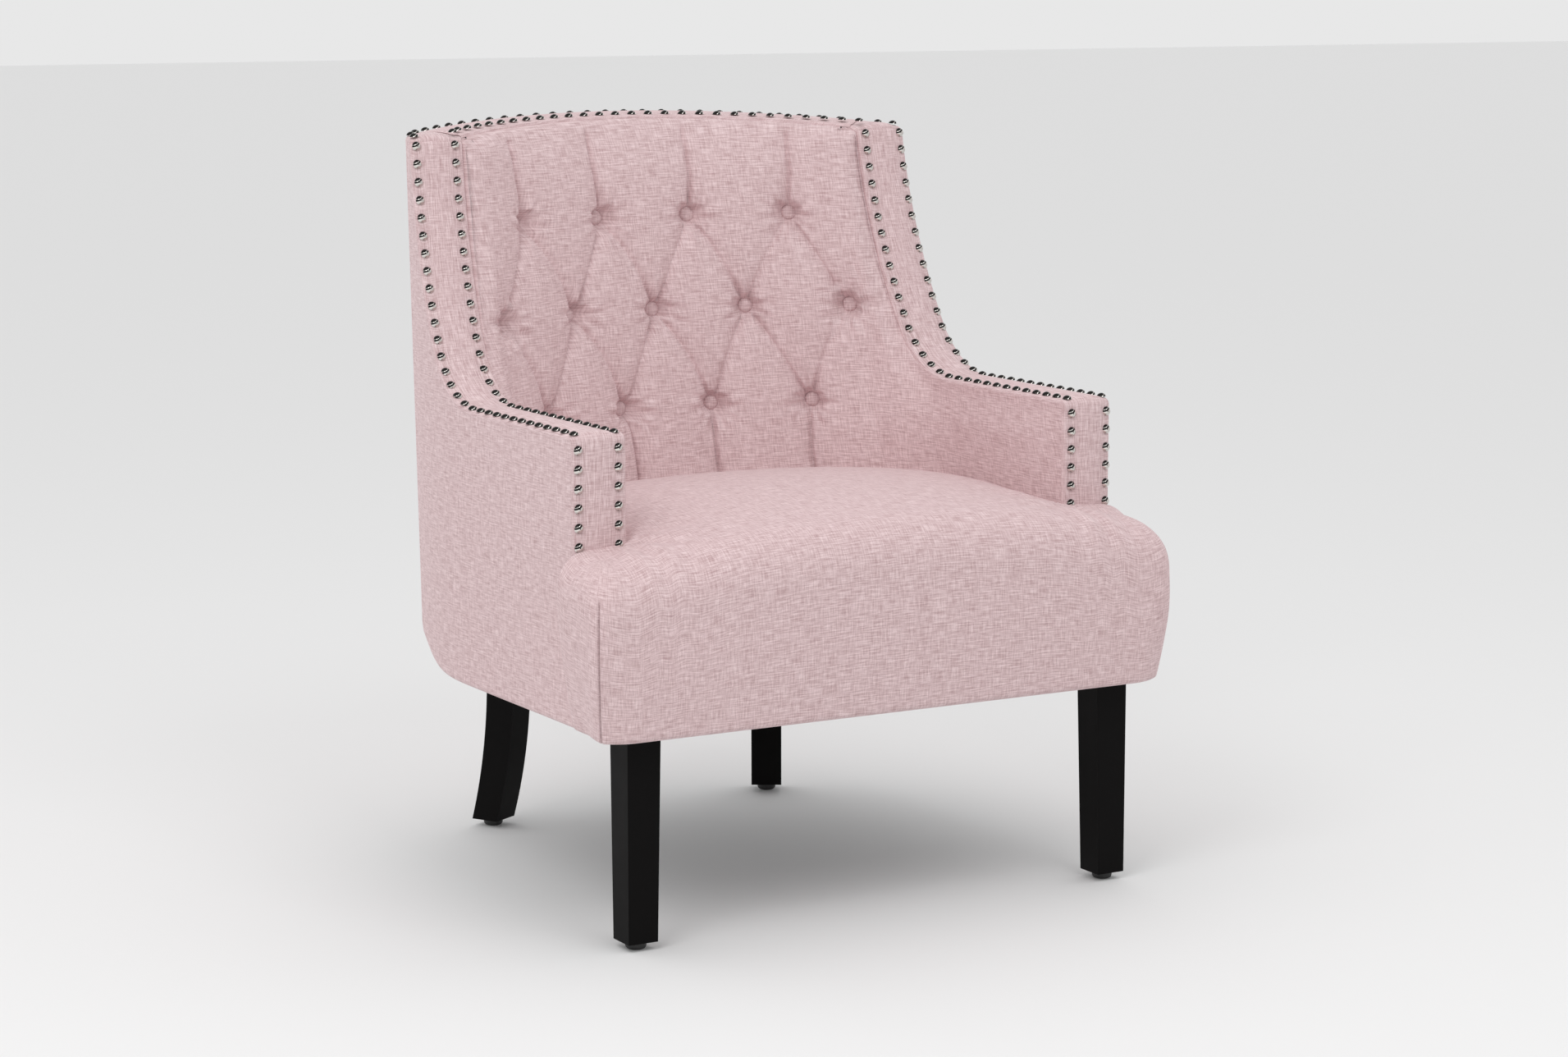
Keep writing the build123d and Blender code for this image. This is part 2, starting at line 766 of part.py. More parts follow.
rear_block_outside = rear_leg_x + block_half / 2
rear_block_back = rear_of(cover + gap, rear_block_outside, rear_leg_top)
rear_block = corner_piece(
    (rear_leg_x - block_half, back_rail_back, rear_leg_top),
    (rear_block_outside, rear_block_back, rear_leg_top + rear_block_height),
    rear_leg_x,
    rear_leg_y,
)
write_pair(fitted(rear_block), "corner_block_rear")


# ------------------------------------------------------------------ legs
def bolt_bore(x, y, top):
    """The hole in a leg's top for its bolt."""
    with Locations((x, y, top)):
        Hole(leg_bolt_radius, depth=leg_bolt_length / 2)


with BuildPart() as front_leg_part:
    foot_shift = (front_leg - front_leg_foot) / 2
    with BuildSketch(Plane.XY.offset(glide_height)):
        with Locations((front_leg_x + foot_shift, front_leg_y - foot_shift)):
            Rectangle(front_leg_foot, front_leg_foot)
    with BuildSketch(Plane.XY.offset(body_bottom)):
        with Locations((front_leg_x, front_leg_y)):
            Rectangle(front_leg, front_leg)
    loft()
    with Locations((front_leg_x, front_leg_y, body_bottom)):
        Hole(leg_bolt_radius, depth=leg_bolt_length / 2)
write_pair(front_leg_part.part, "leg_front")

leg_plane = Plane(origin=(rear_leg_x, rear_leg_y, 0), x_dir=flare, z_dir=flare.cross(Vector(0, 0, 1)))
with BuildPart() as rear_leg_part:
    with BuildSketch(leg_plane):
        with BuildLine():
            half_top = rear_leg / 2
            half_foot = rear_leg_foot / 2
            rear_foot = (rear_leg_sweep + half_foot, glide_height)
            front_foot = (rear_leg_sweep - half_foot, glide_height)
            Line((-half_top, rear_leg_top), (half_top, rear_leg_top))
            Line((half_top, rear_leg_top), (half_top, rear_leg_straight))
            TangentArc((half_top, rear_leg_straight), rear_foot, tangent=(0, -1))
            Line(rear_foot, front_foot)
            TangentArc((-half_top, rear_leg_straight), front_foot, tangent=(0, -1))
            Line((-half_top, rear_leg_straight), (-half_top, rear_leg_top))
        make_face()
    extrude(amount=rear_leg / 2, both=True)
    with Locations((rear_leg_x, rear_leg_y, rear_leg_top)):
        Hole(leg_bolt_radius, depth=leg_bolt_length / 2)
write_pair(rear_leg_part.part, "leg_rear")

glide_places = [
    (front_leg_x + foot_shift, front_leg_y - foot_shift),
    (rear_leg_foot_x, rear_leg_foot_y),
]
with BuildPart() as glides:
    for x, y in glide_places:
        with Locations((x, y, glide_height / 2), (-x, y, glide_height / 2)):
            Cylinder(glide_radius, glide_height)
    fillet(glides.edges().group_by(Axis.Z)[0], radius=glide_height / 2)
write(glides.part, "leg_glides")

bolt_places = [
    (front_leg_x, front_leg_y, body_bottom, rail_bottom + corner_block_height),
    (rear_leg_x, rear_leg_y, rear_leg_top, rear_leg_top + rear_block_height),
]
with BuildPart() as leg_bolts:
    for x, y, leg_end, block_top in bolt_places:
        bolt_low = leg_end - leg_bolt_length / 2
        bolt_high = block_top + washer_thickness + nut_height
        with Locations((x, y, (bolt_low + bolt_high) / 2)):
            Cylinder(leg_bolt_radius, bolt_high - bolt_low)
    mirror(about=Plane.YZ)
write(leg_bolts.part, "leg_bolts")

with BuildPart() as leg_nuts:
    for x, y, leg_end, block_top in bolt_places:
        with BuildSketch(Plane.XY.offset(block_top + washer_thickness)):
            with Locations((x, y)):
                RegularPolygon(nut_radius, 6)
                Circle(leg_bolt_radius, mode=Mode.SUBTRACT)
        extrude(amount=nut_height)
    mirror(about=Plane.YZ)
write(leg_nuts.part, "leg_nuts")

with BuildPart() as leg_washers:
    for x, y, leg_end, block_top in bolt_places:
        with BuildSketch(Plane.XY.offset(block_top)):
            with Locations((x, y)):
                Circle(washer_radius)
                Circle(bolt_hole, mode=Mode.SUBTRACT)
        extrude(amount=washer_thickness)
    mirror(about=Plane.YZ)
write(leg_washers.part, "leg_washers")

# ------------------------------------------------------------------ outside back and dust cover
with BuildPart() as outside_back:
    add(wall_piece(under_cover, inside_cover_block, None, "back"))
    for side in (-1, 1):
        with BuildSketch(Plane.XY):
            with Locations(Location((side * rear_leg_x, rear_leg_y, 0), (0, 0, -side * rear_leg_turn))):
                Rectangle(rear_leg + 2 * gap, rear_leg + 2 * gap)
        extrude(amount=rear_leg_top + gap, mode=Mode.SUBTRACT)
write(outside_back.part, "outside_back_cover")

with BuildPart() as dust_sheet:
    with BuildSketch(Plane.XY.offset(body_bottom)):
        with Locations((0, back_centre[1])):
            Circle(back_radius - underside_radius - gap)
        with Locations((0, (seat_front + cover + gap + far) / 2)):
            Rectangle(2 * (half_width - cover - gap), far - seat_front - cover - gap, mode=Mode.INTERSECT)
        with Locations((0, (seat_front + cover + gap + arm_front - gap - cover) / 2)):
            Rectangle(2 * rail_half, arm_setback - 2 * cover - 2 * gap)
    extrude(amount=dust_cover)
    add(frame_space, mode=Mode.INTERSECT)
    for x, y, leg_end, block_top in bolt_places[:1]:
        with Locations((x, y, body_bottom + dust_cover), (-x, y, body_bottom + dust_cover)):
            Hole(bolt_hole)
write(dust_sheet.part, "dust_cover")

# ------------------------------------------------------------------ springs
spring_front = front_rail_y + rail_thickness / 2
spring_rear = back_rail_front + rail_thickness / 2
outer_spring = arm_inside - spring_inset
spring_places = [(2 * index / (spring_count - 1) - 1) * outer_spring for index in range(spring_count)]
turns = 2 * round((spring_rear - spring_front) / (2 * spring_step))
step = (spring_rear - spring_front) / turns

with BuildPart() as spring:
    with BuildLine(Plane.XY.offset(spring_height)) as wire:
        points = [(0, spring_front)]
        for turn in range(turns):
            reach = spring_width / 2 if turn % 2 else -spring_width / 2
            points.append((reach, spring_front + (turn + 0.25) * step))
            points.append((reach, spring_front + (turn + 0.75) * step))
        points.append((0, spring_rear))
        FilletPolyline(*points, radius=spring_bend)
    with BuildSketch(Plane(origin=wire.line @ 0, z_dir=wire.line % 0)):
        Circle(spring_wire)
    sweep(transition=Transition.RIGHT)

with BuildPart() as springs:
    with Locations([(x, 0, 0) for x in spring_places]):
        add(spring.part)
write(springs.part, "seat_springs")

# Each spring's ends lie under a folded metal clip on the front rail and on the rear rail
with BuildPart() as clips:
    for x in spring_places:
        for y in (spring_front, spring_rear):
            with Locations((x, y, spring_height + spring_wire + clip_height / 2)):
                Box(clip_width, clip_width, clip_height)
write(clips.part, "spring_clips")


# ------------------------------------------------------------------ nails
def nail_head():
    """One domed head, standing on XY."""
    with BuildPart() as head:
        dome_radius = (nail_radius**2 + nail_height**2) / (2 * nail_height)
        with BuildSketch(Plane.XZ):
            with Locations((0, nail_height - dome_radius)):
                Circle(dome_radius)
            with Locations((far / 2, far / 2)):
                Rectangle(far, far, mode=Mode.INTERSECT)
        revolve(axis=Axis.Z)
    return head.part


def side_row(inset):
    """Places of one row of nails on the right: arm front, arm top, then up the wing."""
    places = []
    for index in range(nails_on_arm_front):
        z = arm_height - nail_first_drop - index * nail_pitch
        places.append(Plane(origin=(half_width - inset, arm_front, z), z_dir=(0, -1, 0)))
    with BuildLine(Plane.YZ) as edge:
        Line((arm_front + nail_first_back, arm_height), (scoop_start, arm_height))
        CenterArc(scoop_centre, scoop_radius, -90, scoop_angle)
        CenterArc(wing_centre, wing_radius, scoop_angle - 90, wing_angle)
    path = edge.wires()[0]
    for index in range(int(path.length / nail_pitch) + 1):
        share = index * nail_pitch / path.length
        point = path @ share
        if point.Z < back_height - top_crown_rise:
            tangent = path % share
            normal = Vector(0, -tangent.Z, tangent.Y)
            spot = (side_of(inset, point.Y, point.Z), point.Y, point.Z)
            places.append(Plane(origin=spot, z_dir=normal))
    return places


def top_row(inset, count):
    """Places of one row of nails along the top edge, from wing to wing."""
    wing_top = back_height - top_crown_rise
    first = wing_front_of(0, wing_top) + nail_first_back - back_lean * (wing_top - body_bottom)
    first_angle = degrees(asin((first - side_centre[1]) / (side_radius - inset)))
    with BuildLine() as edge:
        CenterArc(side_centre, side_radius - inset, first_angle, side_angle - first_angle)
        CenterArc(corner_centre, corner_radius - inset, side_angle, back_angle - side_angle)
        CenterArc(back_centre, back_radius - inset, back_angle, 90 - back_angle)
        mirror(about=Plane.YZ)
    path = edge.wires()[0]
    places = []
    for index in range(count):
        point = path @ (index / (count - 1))
        z = back_height - crown_radius + sqrt(crown_radius**2 - point.X**2)
        spot = (point.X, point.Y + back_lean * (z - body_bottom), z)
        places.append(Plane(origin=spot, z_dir=(point.X / crown_radius, 0, 1)))
    return places


def nail_group(places):
    """One head at each place."""
    with BuildPart() as group:
        with Locations([place.offset(nail_lift).location for place in places]):
            add(nail_head())
    return group.part


write_pair(nail_group(side_row(nail_inset) + side_row(nail_inner_inset)), "nails")
top_rows = top_row(nail_inner_inset, nails_on_top_front) + top_row(nail_inset, nails_on_top_rear)
write(nail_group(top_rows), "nails_top")
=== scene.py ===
import json
from math import atan2, cos, pi, radians, sin, sqrt

import bpy
import numpy as np
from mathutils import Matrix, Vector


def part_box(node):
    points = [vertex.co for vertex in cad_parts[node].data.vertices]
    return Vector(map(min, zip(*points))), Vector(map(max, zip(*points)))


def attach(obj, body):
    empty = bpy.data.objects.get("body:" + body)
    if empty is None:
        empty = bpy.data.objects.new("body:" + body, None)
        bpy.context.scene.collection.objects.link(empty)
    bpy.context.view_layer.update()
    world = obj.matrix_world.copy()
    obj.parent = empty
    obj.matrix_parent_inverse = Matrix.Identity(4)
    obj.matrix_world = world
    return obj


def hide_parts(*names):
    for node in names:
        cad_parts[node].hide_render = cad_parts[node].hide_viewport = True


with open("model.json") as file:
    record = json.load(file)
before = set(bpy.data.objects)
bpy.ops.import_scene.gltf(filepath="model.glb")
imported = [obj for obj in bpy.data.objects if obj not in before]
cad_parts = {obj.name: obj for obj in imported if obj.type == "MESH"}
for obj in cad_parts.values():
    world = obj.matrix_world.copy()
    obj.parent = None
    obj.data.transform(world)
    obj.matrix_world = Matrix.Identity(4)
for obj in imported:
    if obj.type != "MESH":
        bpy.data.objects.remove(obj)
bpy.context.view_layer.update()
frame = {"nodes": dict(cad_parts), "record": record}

# ------------------------------------------------------------------ places taken from the frame, metres
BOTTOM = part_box("outside_arm_cover_right")[0].z
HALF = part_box("outside_arm_cover_right")[1].x
ARM_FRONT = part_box("edge_band_right")[0].y
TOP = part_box("top_band")[1].z
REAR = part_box("top_band")[1].y
SEAT_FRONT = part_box("seat_cover")[0].y
SEAT_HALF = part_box("seat_boxing_right")[1].x
SEAT_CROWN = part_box("seat_cover")[1].z
BACK_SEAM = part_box("outside_back_cover")[1].x

# ------------------------------------------------------------------ outlines, metres
ARM_TOP = 0.551
BAND = 0.0645            # width of the band over the arms, wings and top
BAND_BOTTOM = 0.392      # where the band's front ends, behind the seat
LEAN = 0.046             # rearward travel of the outside back per unit of height
LEAN_RUN = 0.200         # the lean comes in over this length of the arm
BEND_START = 0.025       # y where the sides begin to turn inward
SIDE_RADIUS = 0.650
BACK_RADIUS = 0.505
CORNER_RADIUS = 0.0705
SCOOP_START = 0.002
SCOOP_RADIUS = 0.118
SCOOP_ANGLE = radians(60)
WING_RADIUS = 0.650
ARM_CORNER = 0.009       # rounding of the arm's top front, seen from the side
WING_CORNER = 0.010      # the same where the wing turns over into the top
WING_INSET = 0.021       # the wing's height is taken this far in from its side
CROWN_RADIUS = 3.510     # of the top edge, seen from in front
FACE_RADIUS = 0.470      # plan of the inside back
FACE_Y = 0.233           # middle of the padded face, at FACE_Z
FACE_Z = 0.740
FACE_LEAN = 0.267
LOW_CORNER = 0.110       # rounding between inside arm and inside back, at seat level
HIGH_CORNER = 0.022      # the same beside the wing
EDGE = 0.005             # rounding of the band's edges
SEAM_DROP = 0.0008       # how far a seam sinks
SEAM_HEIGHT = 0.840      # the side bands meet the top band above this height
AXIS_Y = -0.100          # the inside is drawn round this vertical axis
INSIDE_BOTTOM = 0.405

BASE_REAR = REAR - LEAN * (TOP - BOTTOM)
SIDE_CENTRE = np.array((HALF - SIDE_RADIUS, BEND_START))
BACK_CENTRE = np.array((0.0, BASE_REAR - BACK_RADIUS))
WING_CENTRE = (
    SCOOP_START + (SCOOP_RADIUS - WING_RADIUS) * sin(SCOOP_ANGLE),
    ARM_TOP + SCOOP_RADIUS - (SCOOP_RADIUS - WING_RADIUS) * cos(SCOOP_ANGLE),
)


def smooth(t):
    """Eased step from 0 to 1."""
    t = np.clip(t, 0.0, 1.0)
    return t * t * (3 - 2 * t)


def corner_centre():
    """Centre of the plan's rear corner arc, which touches the side arc and the back arc."""
    apart = BACK_CENTRE - SIDE_CENTRE
    gap = np.linalg.norm(apart)
    to_side = SIDE_RADIUS - CORNER_RADIUS
    to_back = BACK_RADIUS - CORNER_RADIUS
    along = (to_side**2 - to_back**2 + gap**2) / (2 * gap)
    across = sqrt(to_side**2 - along**2)
    unit = apart / gap
    return SIDE_CENTRE + along * unit + across * np.array((-unit[1], unit[0]))


CORNER_CENTRE = corner_centre()
SIDE_TURN = atan2(CORNER_CENTRE[1] - SIDE_CENTRE[1], CORNER_CENTRE[0] - SIDE_CENTRE[0])
BACK_TURN = atan2(CORNER_CENTRE[1] - BACK_CENTRE[1], CORNER_CENTRE[0] - BACK_CENTRE[0])
STRAIGHT = BEND_START - ARM_FRONT
SIDE_END = STRAIGHT + SIDE_RADIUS * SIDE_TURN
CORNER_END = SIDE_END + CORNER_RADIUS * (BACK_TURN - SIDE_TURN)
HALF_PLAN = CORNER_END + BACK_RADIUS * (pi / 2 - BACK_TURN)


def plan_frame(s):
    """Centre of curvature, radius and angle of the right-hand plan at distance s from the arm's front."""
    if s <= SIDE_END:
        return SIDE_CENTRE, SIDE_RADIUS, (s - STRAIGHT) / SIDE_RADIUS
    if s <= CORNER_END:
        return CORNER_CENTRE, CORNER_RADIUS, SIDE_TURN + (s - SIDE_END) / CORNER_RADIUS
    return BACK_CENTRE, BACK_RADIUS, BACK_TURN + (s - CORNER_END) / BACK_RADIUS


def wall(s, z, inset=0.0):
    """Point of the outside wall at plan distance s and height z, set in by inset."""
    if s <= STRAIGHT:
        x, y = HALF - inset, ARM_FRONT + s
    else:
        centre, radius, angle = plan_frame(s)
        x, y = centre + (radius - inset) * np.array((cos(angle), sin(angle)))
    return np.array((x, y + LEAN * max(z - BOTTOM, 0.0) * min(1.0, max(0.0, s / LEAN_RUN)), z))


def across_arm(s, z, inset, share):
    """Point inside the wall at s: straight across the chair for share 1, square to the wall for share 0."""
    if s <= STRAIGHT or share == 0:
        return wall(s, z, inset)
    y = wall(s, z)[1] - LEAN * (z - BOTTOM)
    turn = np.arcsin(min((y - SIDE_CENTRE[1]) / (SIDE_RADIUS - inset), 1.0))
    other = STRAIGHT + SIDE_RADIUS * turn
    if turn > SIDE_TURN:
        # the last part of the corner's arc runs nearly straight across, and isn't followed
        turn = np.arcsin(min((y - CORNER_CENTRE[1]) / (CORNER_RADIUS - inset), 0.9))
        other = SIDE_END + CORNER_RADIUS * (max(turn, SIDE_TURN) - SIDE_TURN)
    return wall(s + share * (other - s), z, inset)


def tangent(s):
    """Horizontal direction of the wall's run at s, towards the back."""
    if s <= STRAIGHT:
        return np.array((0.0, 1.0, 0.0))
    angle = plan_frame(s)[2]
    return np.array((-sin(angle), cos(angle), 0.0))


def plan_distance(y, z):
    """Plan distance of the side wall's point at y and height z, found by halving."""
    low, high = 0.0, SIDE_END + 0.02
    for _ in range(40):
        middle = (low + high) / 2
        low, high = (middle, high) if wall(middle, z)[1] < y else (low, middle)
    return low


def crown(x):
    """Height of the crowned top edge at x."""
    return TOP - CROWN_RADIUS + sqrt(CROWN_RADIUS**2 - x**2)


def padded_face(x, z):
    """How far back the inside back's padded face lies at x and height z."""
    middle = FACE_Y + FACE_LEAN * (z - FACE_Z)
    return middle - FACE_RADIUS + np.sqrt(np.maximum(FACE_RADIUS**2 - x**2, 1e-4))


def edge_path():
    """The band's run, as rows: s, z, the normal's parts along and up, and how straight across it lies."""
    rows = []

    def arc(centre, radius, start, end, out, step=0.003):
        count = max(4, int(abs(end - start) * radius / step) + 1)
        for angle in np.linspace(start, end, count)[1:]:
            y, z = centre[0] + radius * cos(angle), centre[1] + radius * sin(angle)
            rows.append((plan_distance(y, z), z, out * cos(angle), out * sin(angle), 1.0))

    fine, coarse = 0.0015, 0.005
    for z in np.linspace(BAND_BOTTOM, ARM_TOP - ARM_CORNER, 31):
        rows.append((0.0, z, -1.0, 0.0, 1.0))
    arc((ARM_FRONT + ARM_CORNER, ARM_TOP - ARM_CORNER), ARM_CORNER, pi, pi / 2, 1, fine)
    for y in np.arange(ARM_FRONT + ARM_CORNER + coarse, SCOOP_START - 0.002, coarse):
        rows.append((plan_distance(y, ARM_TOP), ARM_TOP, 0.0, 1.0, 1.0))
    arc((SCOOP_START, ARM_TOP + SCOOP_RADIUS), SCOOP_RADIUS, -pi / 2, SCOOP_ANGLE - pi / 2, -1)
    wing_top = crown(HALF - WING_INSET)
    end = np.arcsin((wing_top - WING_CORNER - WING_CENTRE[1]) / WING_RADIUS)
    arc(WING_CENTRE, WING_RADIUS, SCOOP_ANGLE - pi / 2, end, -1)
    # the wing's front turns over into the top
    y, z = WING_CENTRE[0] + WING_RADIUS * cos(end), WING_CENTRE[1] + WING_RADIUS * sin(end)
    centre = (y + WING_CORNER * cos(end), z + WING_CORNER * sin(end))
    arc(centre, WING_CORNER, end + pi, pi / 2, 1, fine)
    # along the top the band goes from straight across to square to the wall
    start, blend = rows[-1][0], 0.060
    for s in np.linspace(start, HALF_PLAN, 215)[1:]:
        share = 1 - smooth(np.array((s - start) / blend))
        rows.append((s, crown(wall(s, TOP)[0]), 0.0, 1.0, float(share)))
    return rows


def first_row(height):
    """Index of the path's first row above a height."""
    return next(i for i, row in enumerate(PATH) if row[1] > height)


PATH = edge_path()
ARM_CORNER_ROW = first_row(ARM_TOP - ARM_CORNER + 0.0005)
SEAM_ROW = first_row(SEAM_HEIGHT)


def islands(mesh):
    """Middle of each separate solid in a mesh. A solid close to one already found counts as a part of it."""
    points = np.array([v.co for v in mesh.vertices])
    parent = list(range(len(points)))

    def root(i):
        while parent[i] != i:
            parent[i] = parent[parent[i]]
            i = parent[i]
        return i

    for edge in mesh.edges:
        a, b = root(edge.vertices[0]), root(edge.vertices[1])
        parent[a] = b
    groups = {}
    for i in range(len(points)):
        groups.setdefault(root(i), []).append(i)
    same_solid = 0.009
    middles = []
    for group in groups.values():
        middle = (points[group].min(0) + points[group].max(0)) / 2
        if all(np.linalg.norm(middle - other) > same_solid for other in middles):
            middles.append(middle)
    return middles


def nail_places():
    """Middle of every nail in the frame."""
    places = []
    for name in ("nails_left", "nails_right", "nails_top"):
        places += islands(frame["nodes"][name].data)
    return places


# ------------------------------------------------------------------ meshes
MIRROR = np.array((-1.0, 1.0, 1.0))


def surface(name, points, faces, uv):
    """A smooth mesh object, whose fabric grain is the UV map called grain."""
    mesh = bpy.data.meshes.new(name)
    mesh.from_pydata(np.asarray(points).tolist(), [], np.asarray(faces).tolist())
    layer = mesh.uv_layers.new(name="grain")
    corners = np.zeros(len(mesh.loops), dtype=np.int64)
    mesh.loops.foreach_get("vertex_index", corners)
    layer.data.foreach_set("uv", np.asarray(uv, dtype=np.float32)[corners].ravel())
    mesh.polygons.foreach_set("use_smooth", [True] * len(mesh.polygons))
    mesh.update()
    item = bpy.data.objects.new(name, mesh)
    bpy.context.scene.collection.objects.link(item)
    return item


def grid_faces(rows, columns):
    """Four-sided faces between the points of a grid, by row and column."""
    index = np.arange(rows * columns).reshape(rows, columns)
    return np.stack((index[:-1, :-1], index[1:, :-1], index[1:, 1:], index[:-1, 1:]), -1)


def grid(name, points, uv, flip=False):
    """A smooth surface through a grid of points."""
    quads = grid_faces(*points.shape[:2]).reshape(-1, 4)
    if flip:
        quads = quads[:, ::-1]
    return surface(name, points.reshape(-1, 3), quads, uv.reshape(-1, 2))


def both_halves(half):
    """A right-hand grid of points that ends in the middle, followed by its mirror image."""
    return np.concatenate((half, (half * MIRROR)[::-1][1:]))


def run_along(points):
    """Distance along a line of points from its first one."""
    return np.concatenate((np.zeros(1), np.cumsum(np.linalg.norm(np.diff(points, axis=0), axis=1))))


def lengths(points):
    """Grain coordinates of a grid: real lengths along its columns and rows."""
    rows, columns = points.shape[:2]
    down = np.linalg.norm(np.diff(points, axis=0), axis=2)
    across = np.linalg.norm(np.diff(points, axis=1), axis=2)
    v = np.concatenate((np.zeros((1, columns)), np.cumsum(down, 0)))
    u = np.concatenate((np.zeros((rows, 1)), np.cumsum(across, 1)), 1)
    return np.stack((u, v), -1)


def dimple(points, centres, depth, reach, direction):
    """Pulls points in round each centre, against the given directions."""
    for centre in centres:
        away = np.linalg.norm(points - centre, axis=-1)
        near = away < 3 * reach
        if near.any():
            pull = depth * np.exp(-((away[near] / reach) ** 2))
            points[near] -= pull[:, None] * direction[near]


# ------------------------------------------------------------------ bands
def band_section():
    """The band's section, as (distance in from the outside wall, rise): two rounded edges and a low dome."""
    swell_start, swell_width, swell_rise = 0.0063, 0.0477, 0.0032
    section = []
    for angle in np.linspace(0, pi / 2, 6):
        section.append((EDGE - EDGE * cos(angle), EDGE * sin(angle) - EDGE))
    for t in np.linspace(EDGE, BAND - EDGE, 24)[1:-1]:
        between = min(max((t - swell_start) / swell_width, 0.0), 1.0)
        section.append((t, swell_rise * sin(pi * between) ** 0.8))
    for angle in np.linspace(pi / 2, 0, 6):
        section.append((BAND - EDGE + EDGE * cos(angle), EDGE * sin(angle) - EDGE))
    return section


def band_points():
    """The band's surface and its normals, along the path and across the section, on the right-hand side."""
    section = band_section()
    points = np.zeros((len(PATH), len(section), 3))
    normals = np.zeros_like(points)
    for i, (s, z, along, up, share) in enumerate(PATH):
        facing = share * np.array((0.0, 1.0, 0.0)) + (1 - share) * tangent(s)
        normal = along * facing + np.array((0.0, 0.0, up))
        for j, (t, lift) in enumerate(section):
            points[i, j] = across_arm(s, z, t, share) + lift * normal
            normals[i, j] = normal
    return points, normals


BAND_POINTS, BAND_NORMALS = band_points()
NAIL_DENT, NAIL_DENT_REACH = 0.0010, 0.0075
RIGHT_NAILS = [place for place in nail_places() if place[0] > -0.001]
dimple(BAND_POINTS, RIGHT_NAILS, NAIL_DENT, NAIL_DENT_REACH, BAND_NORMALS)


def make_bands():
    """Edge bands over the arms and wings, and the top band between their seams."""
    sides = BAND_POINTS[: SEAM_ROW + 1].copy()
    # the seam's two edges sink a little
    sides[-1] -= 0.0012 * BAND_NORMALS[SEAM_ROW]
    sides[-2] -= 0.0003 * BAND_NORMALS[SEAM_ROW]
    left = sides * MIRROR
    half = BAND_POINTS[SEAM_ROW:].copy()
    half[0] = sides[-1]
    whole = both_halves(half)
    return (
        grid("band_right", sides, lengths(sides)[..., ::-1], flip=True),
        grid("band_left", left, lengths(left)[..., ::-1]),
        grid("band_top", whole, lengths(whole)[..., ::-1], flip=True),
    )


# ------------------------------------------------------------------ outside arms and back
def under_radius(s):
    """How much the wall is rounded under its lower edge, most at the rear corner."""
    middle, reach = (SIDE_END + CORNER_END) / 2, 0.070
    return 0.006 + 0.042 * np.exp(-(((s - middle) / reach) ** 2))


def wall_column(i):
    """Points down the outside wall from the band's outer edge, then in under the body."""
    start = BAND_POINTS[i, 0]
    s = PATH[i][0] - EDGE * PATH[i][2]
    radius = under_radius(s)
    drop = start[2] - BOTTOM - radius
    seam_width, tuck = 0.002, 0.012
    column = [start]
    for share in np.linspace(0, 1, 110)[1:]:
        height = start[2] - drop * share
        sunk = SEAM_DROP * np.exp(-(((start[2] - height) / seam_width - 1) ** 2))
        column.append(wall(s, height, sunk))
    for angle in np.linspace(0, pi / 2, 9)[1:]:
        column.append(wall(s, BOTTOM + radius - radius * sin(angle), radius - radius * cos(angle)))
    column.append(wall(s, BOTTOM + 0.0005, radius + tuck))
    return column


def wall_grain(points, runs, sign):
    """Grain of an outside wall: its run round the chair, and height."""
    grain = np.zeros(points.shape[:2] + (2,))
    grain[..., 0] = sign * np.array(runs)[:, None]
    grain[..., 1] = points[..., 2]
    return grain


def make_outside():
    """Outside arm covers as far as the rear seams, and the outside back between them."""
    columns = range(ARM_CORNER_ROW, len(PATH))
    points = np.array([wall_column(i) for i in columns])
    runs = [PATH[i][0] for i in columns]
    seam = next(k for k, p in enumerate(points) if p[0, 2] > 0.8 and p[0, 0] < BACK_SEAM)
    side = points[: seam + 1].copy()
    back = points[seam:].copy()
    side[-1] += np.array((-0.0008, -0.0010, 0.0))
    back[0] = side[-1]
    whole = both_halves(back)
    left_back = wall_grain(back, runs[seam:], -1)[::-1][1:]
    left_back[..., 0] += 2 * HALF_PLAN
    grain = np.concatenate((wall_grain(back, runs[seam:], 1), left_back))
    return (
        grid("outside_right", side, wall_grain(side, runs[: seam + 1], 1)),
        grid("outside_left", side * MIRROR, wall_grain(side, runs[: seam + 1], -1), flip=True),
        grid("outside_back", whole, grain),
    )


# ------------------------------------------------------------------ inside arms and tufted back
def inside_radius_at(theta, z):
    """Distance from the axis to the inside surface, for arrays of angle and height, found by halving."""
    low, high = np.full(theta.shape, 0.10), np.full(theta.shape, 0.70)
    for _ in range(34):
        r = (low + high) / 2
        x, y = r * np.cos(theta), AXIS_Y + r * np.sin(theta)
        run = np.clip(y - LEAN * (z - BOTTOM) - BEND_START, 0.0, 0.5)
        arm = SIDE_CENTRE[0] + np.sqrt((SIDE_RADIUS - BAND) ** 2 - run**2) - x
        back = padded_face(x, z) - y
        corner = LOW_CORNER + (HIGH_CORNER - LOW_CORNER) * smooth((z - 0.470) / 0.150)
        share = np.clip(0.5 + 0.5 * (back - arm) / corner, 0, 1)
        clear = back * (1 - share) + arm * share - corner * share * (1 - share)
        low, high = np.where(clear > 0, r, low), np.where(clear > 0, high, r)
    return (low + high) / 2


THETAS = np.linspace(-0.60, pi / 2, 260)
HEIGHTS = np.linspace(0.38, 0.87, 50)


def girth_table():
    """Length round the inside surface from its middle, at each of THETAS and HEIGHTS."""
    theta, z = np.meshgrid(THETAS, HEIGHTS, indexing="ij")
    r = inside_radius_at(theta, z)
    places = np.stack((r * np.cos(theta), AXIS_Y + r * np.sin(theta)), -1)
    steps = np.linalg.norm(np.diff(places, axis=0), axis=2)
    return np.concatenate((np.cumsum(steps[::-1], 0)[::-1], np.zeros((1, len(HEIGHTS)))))


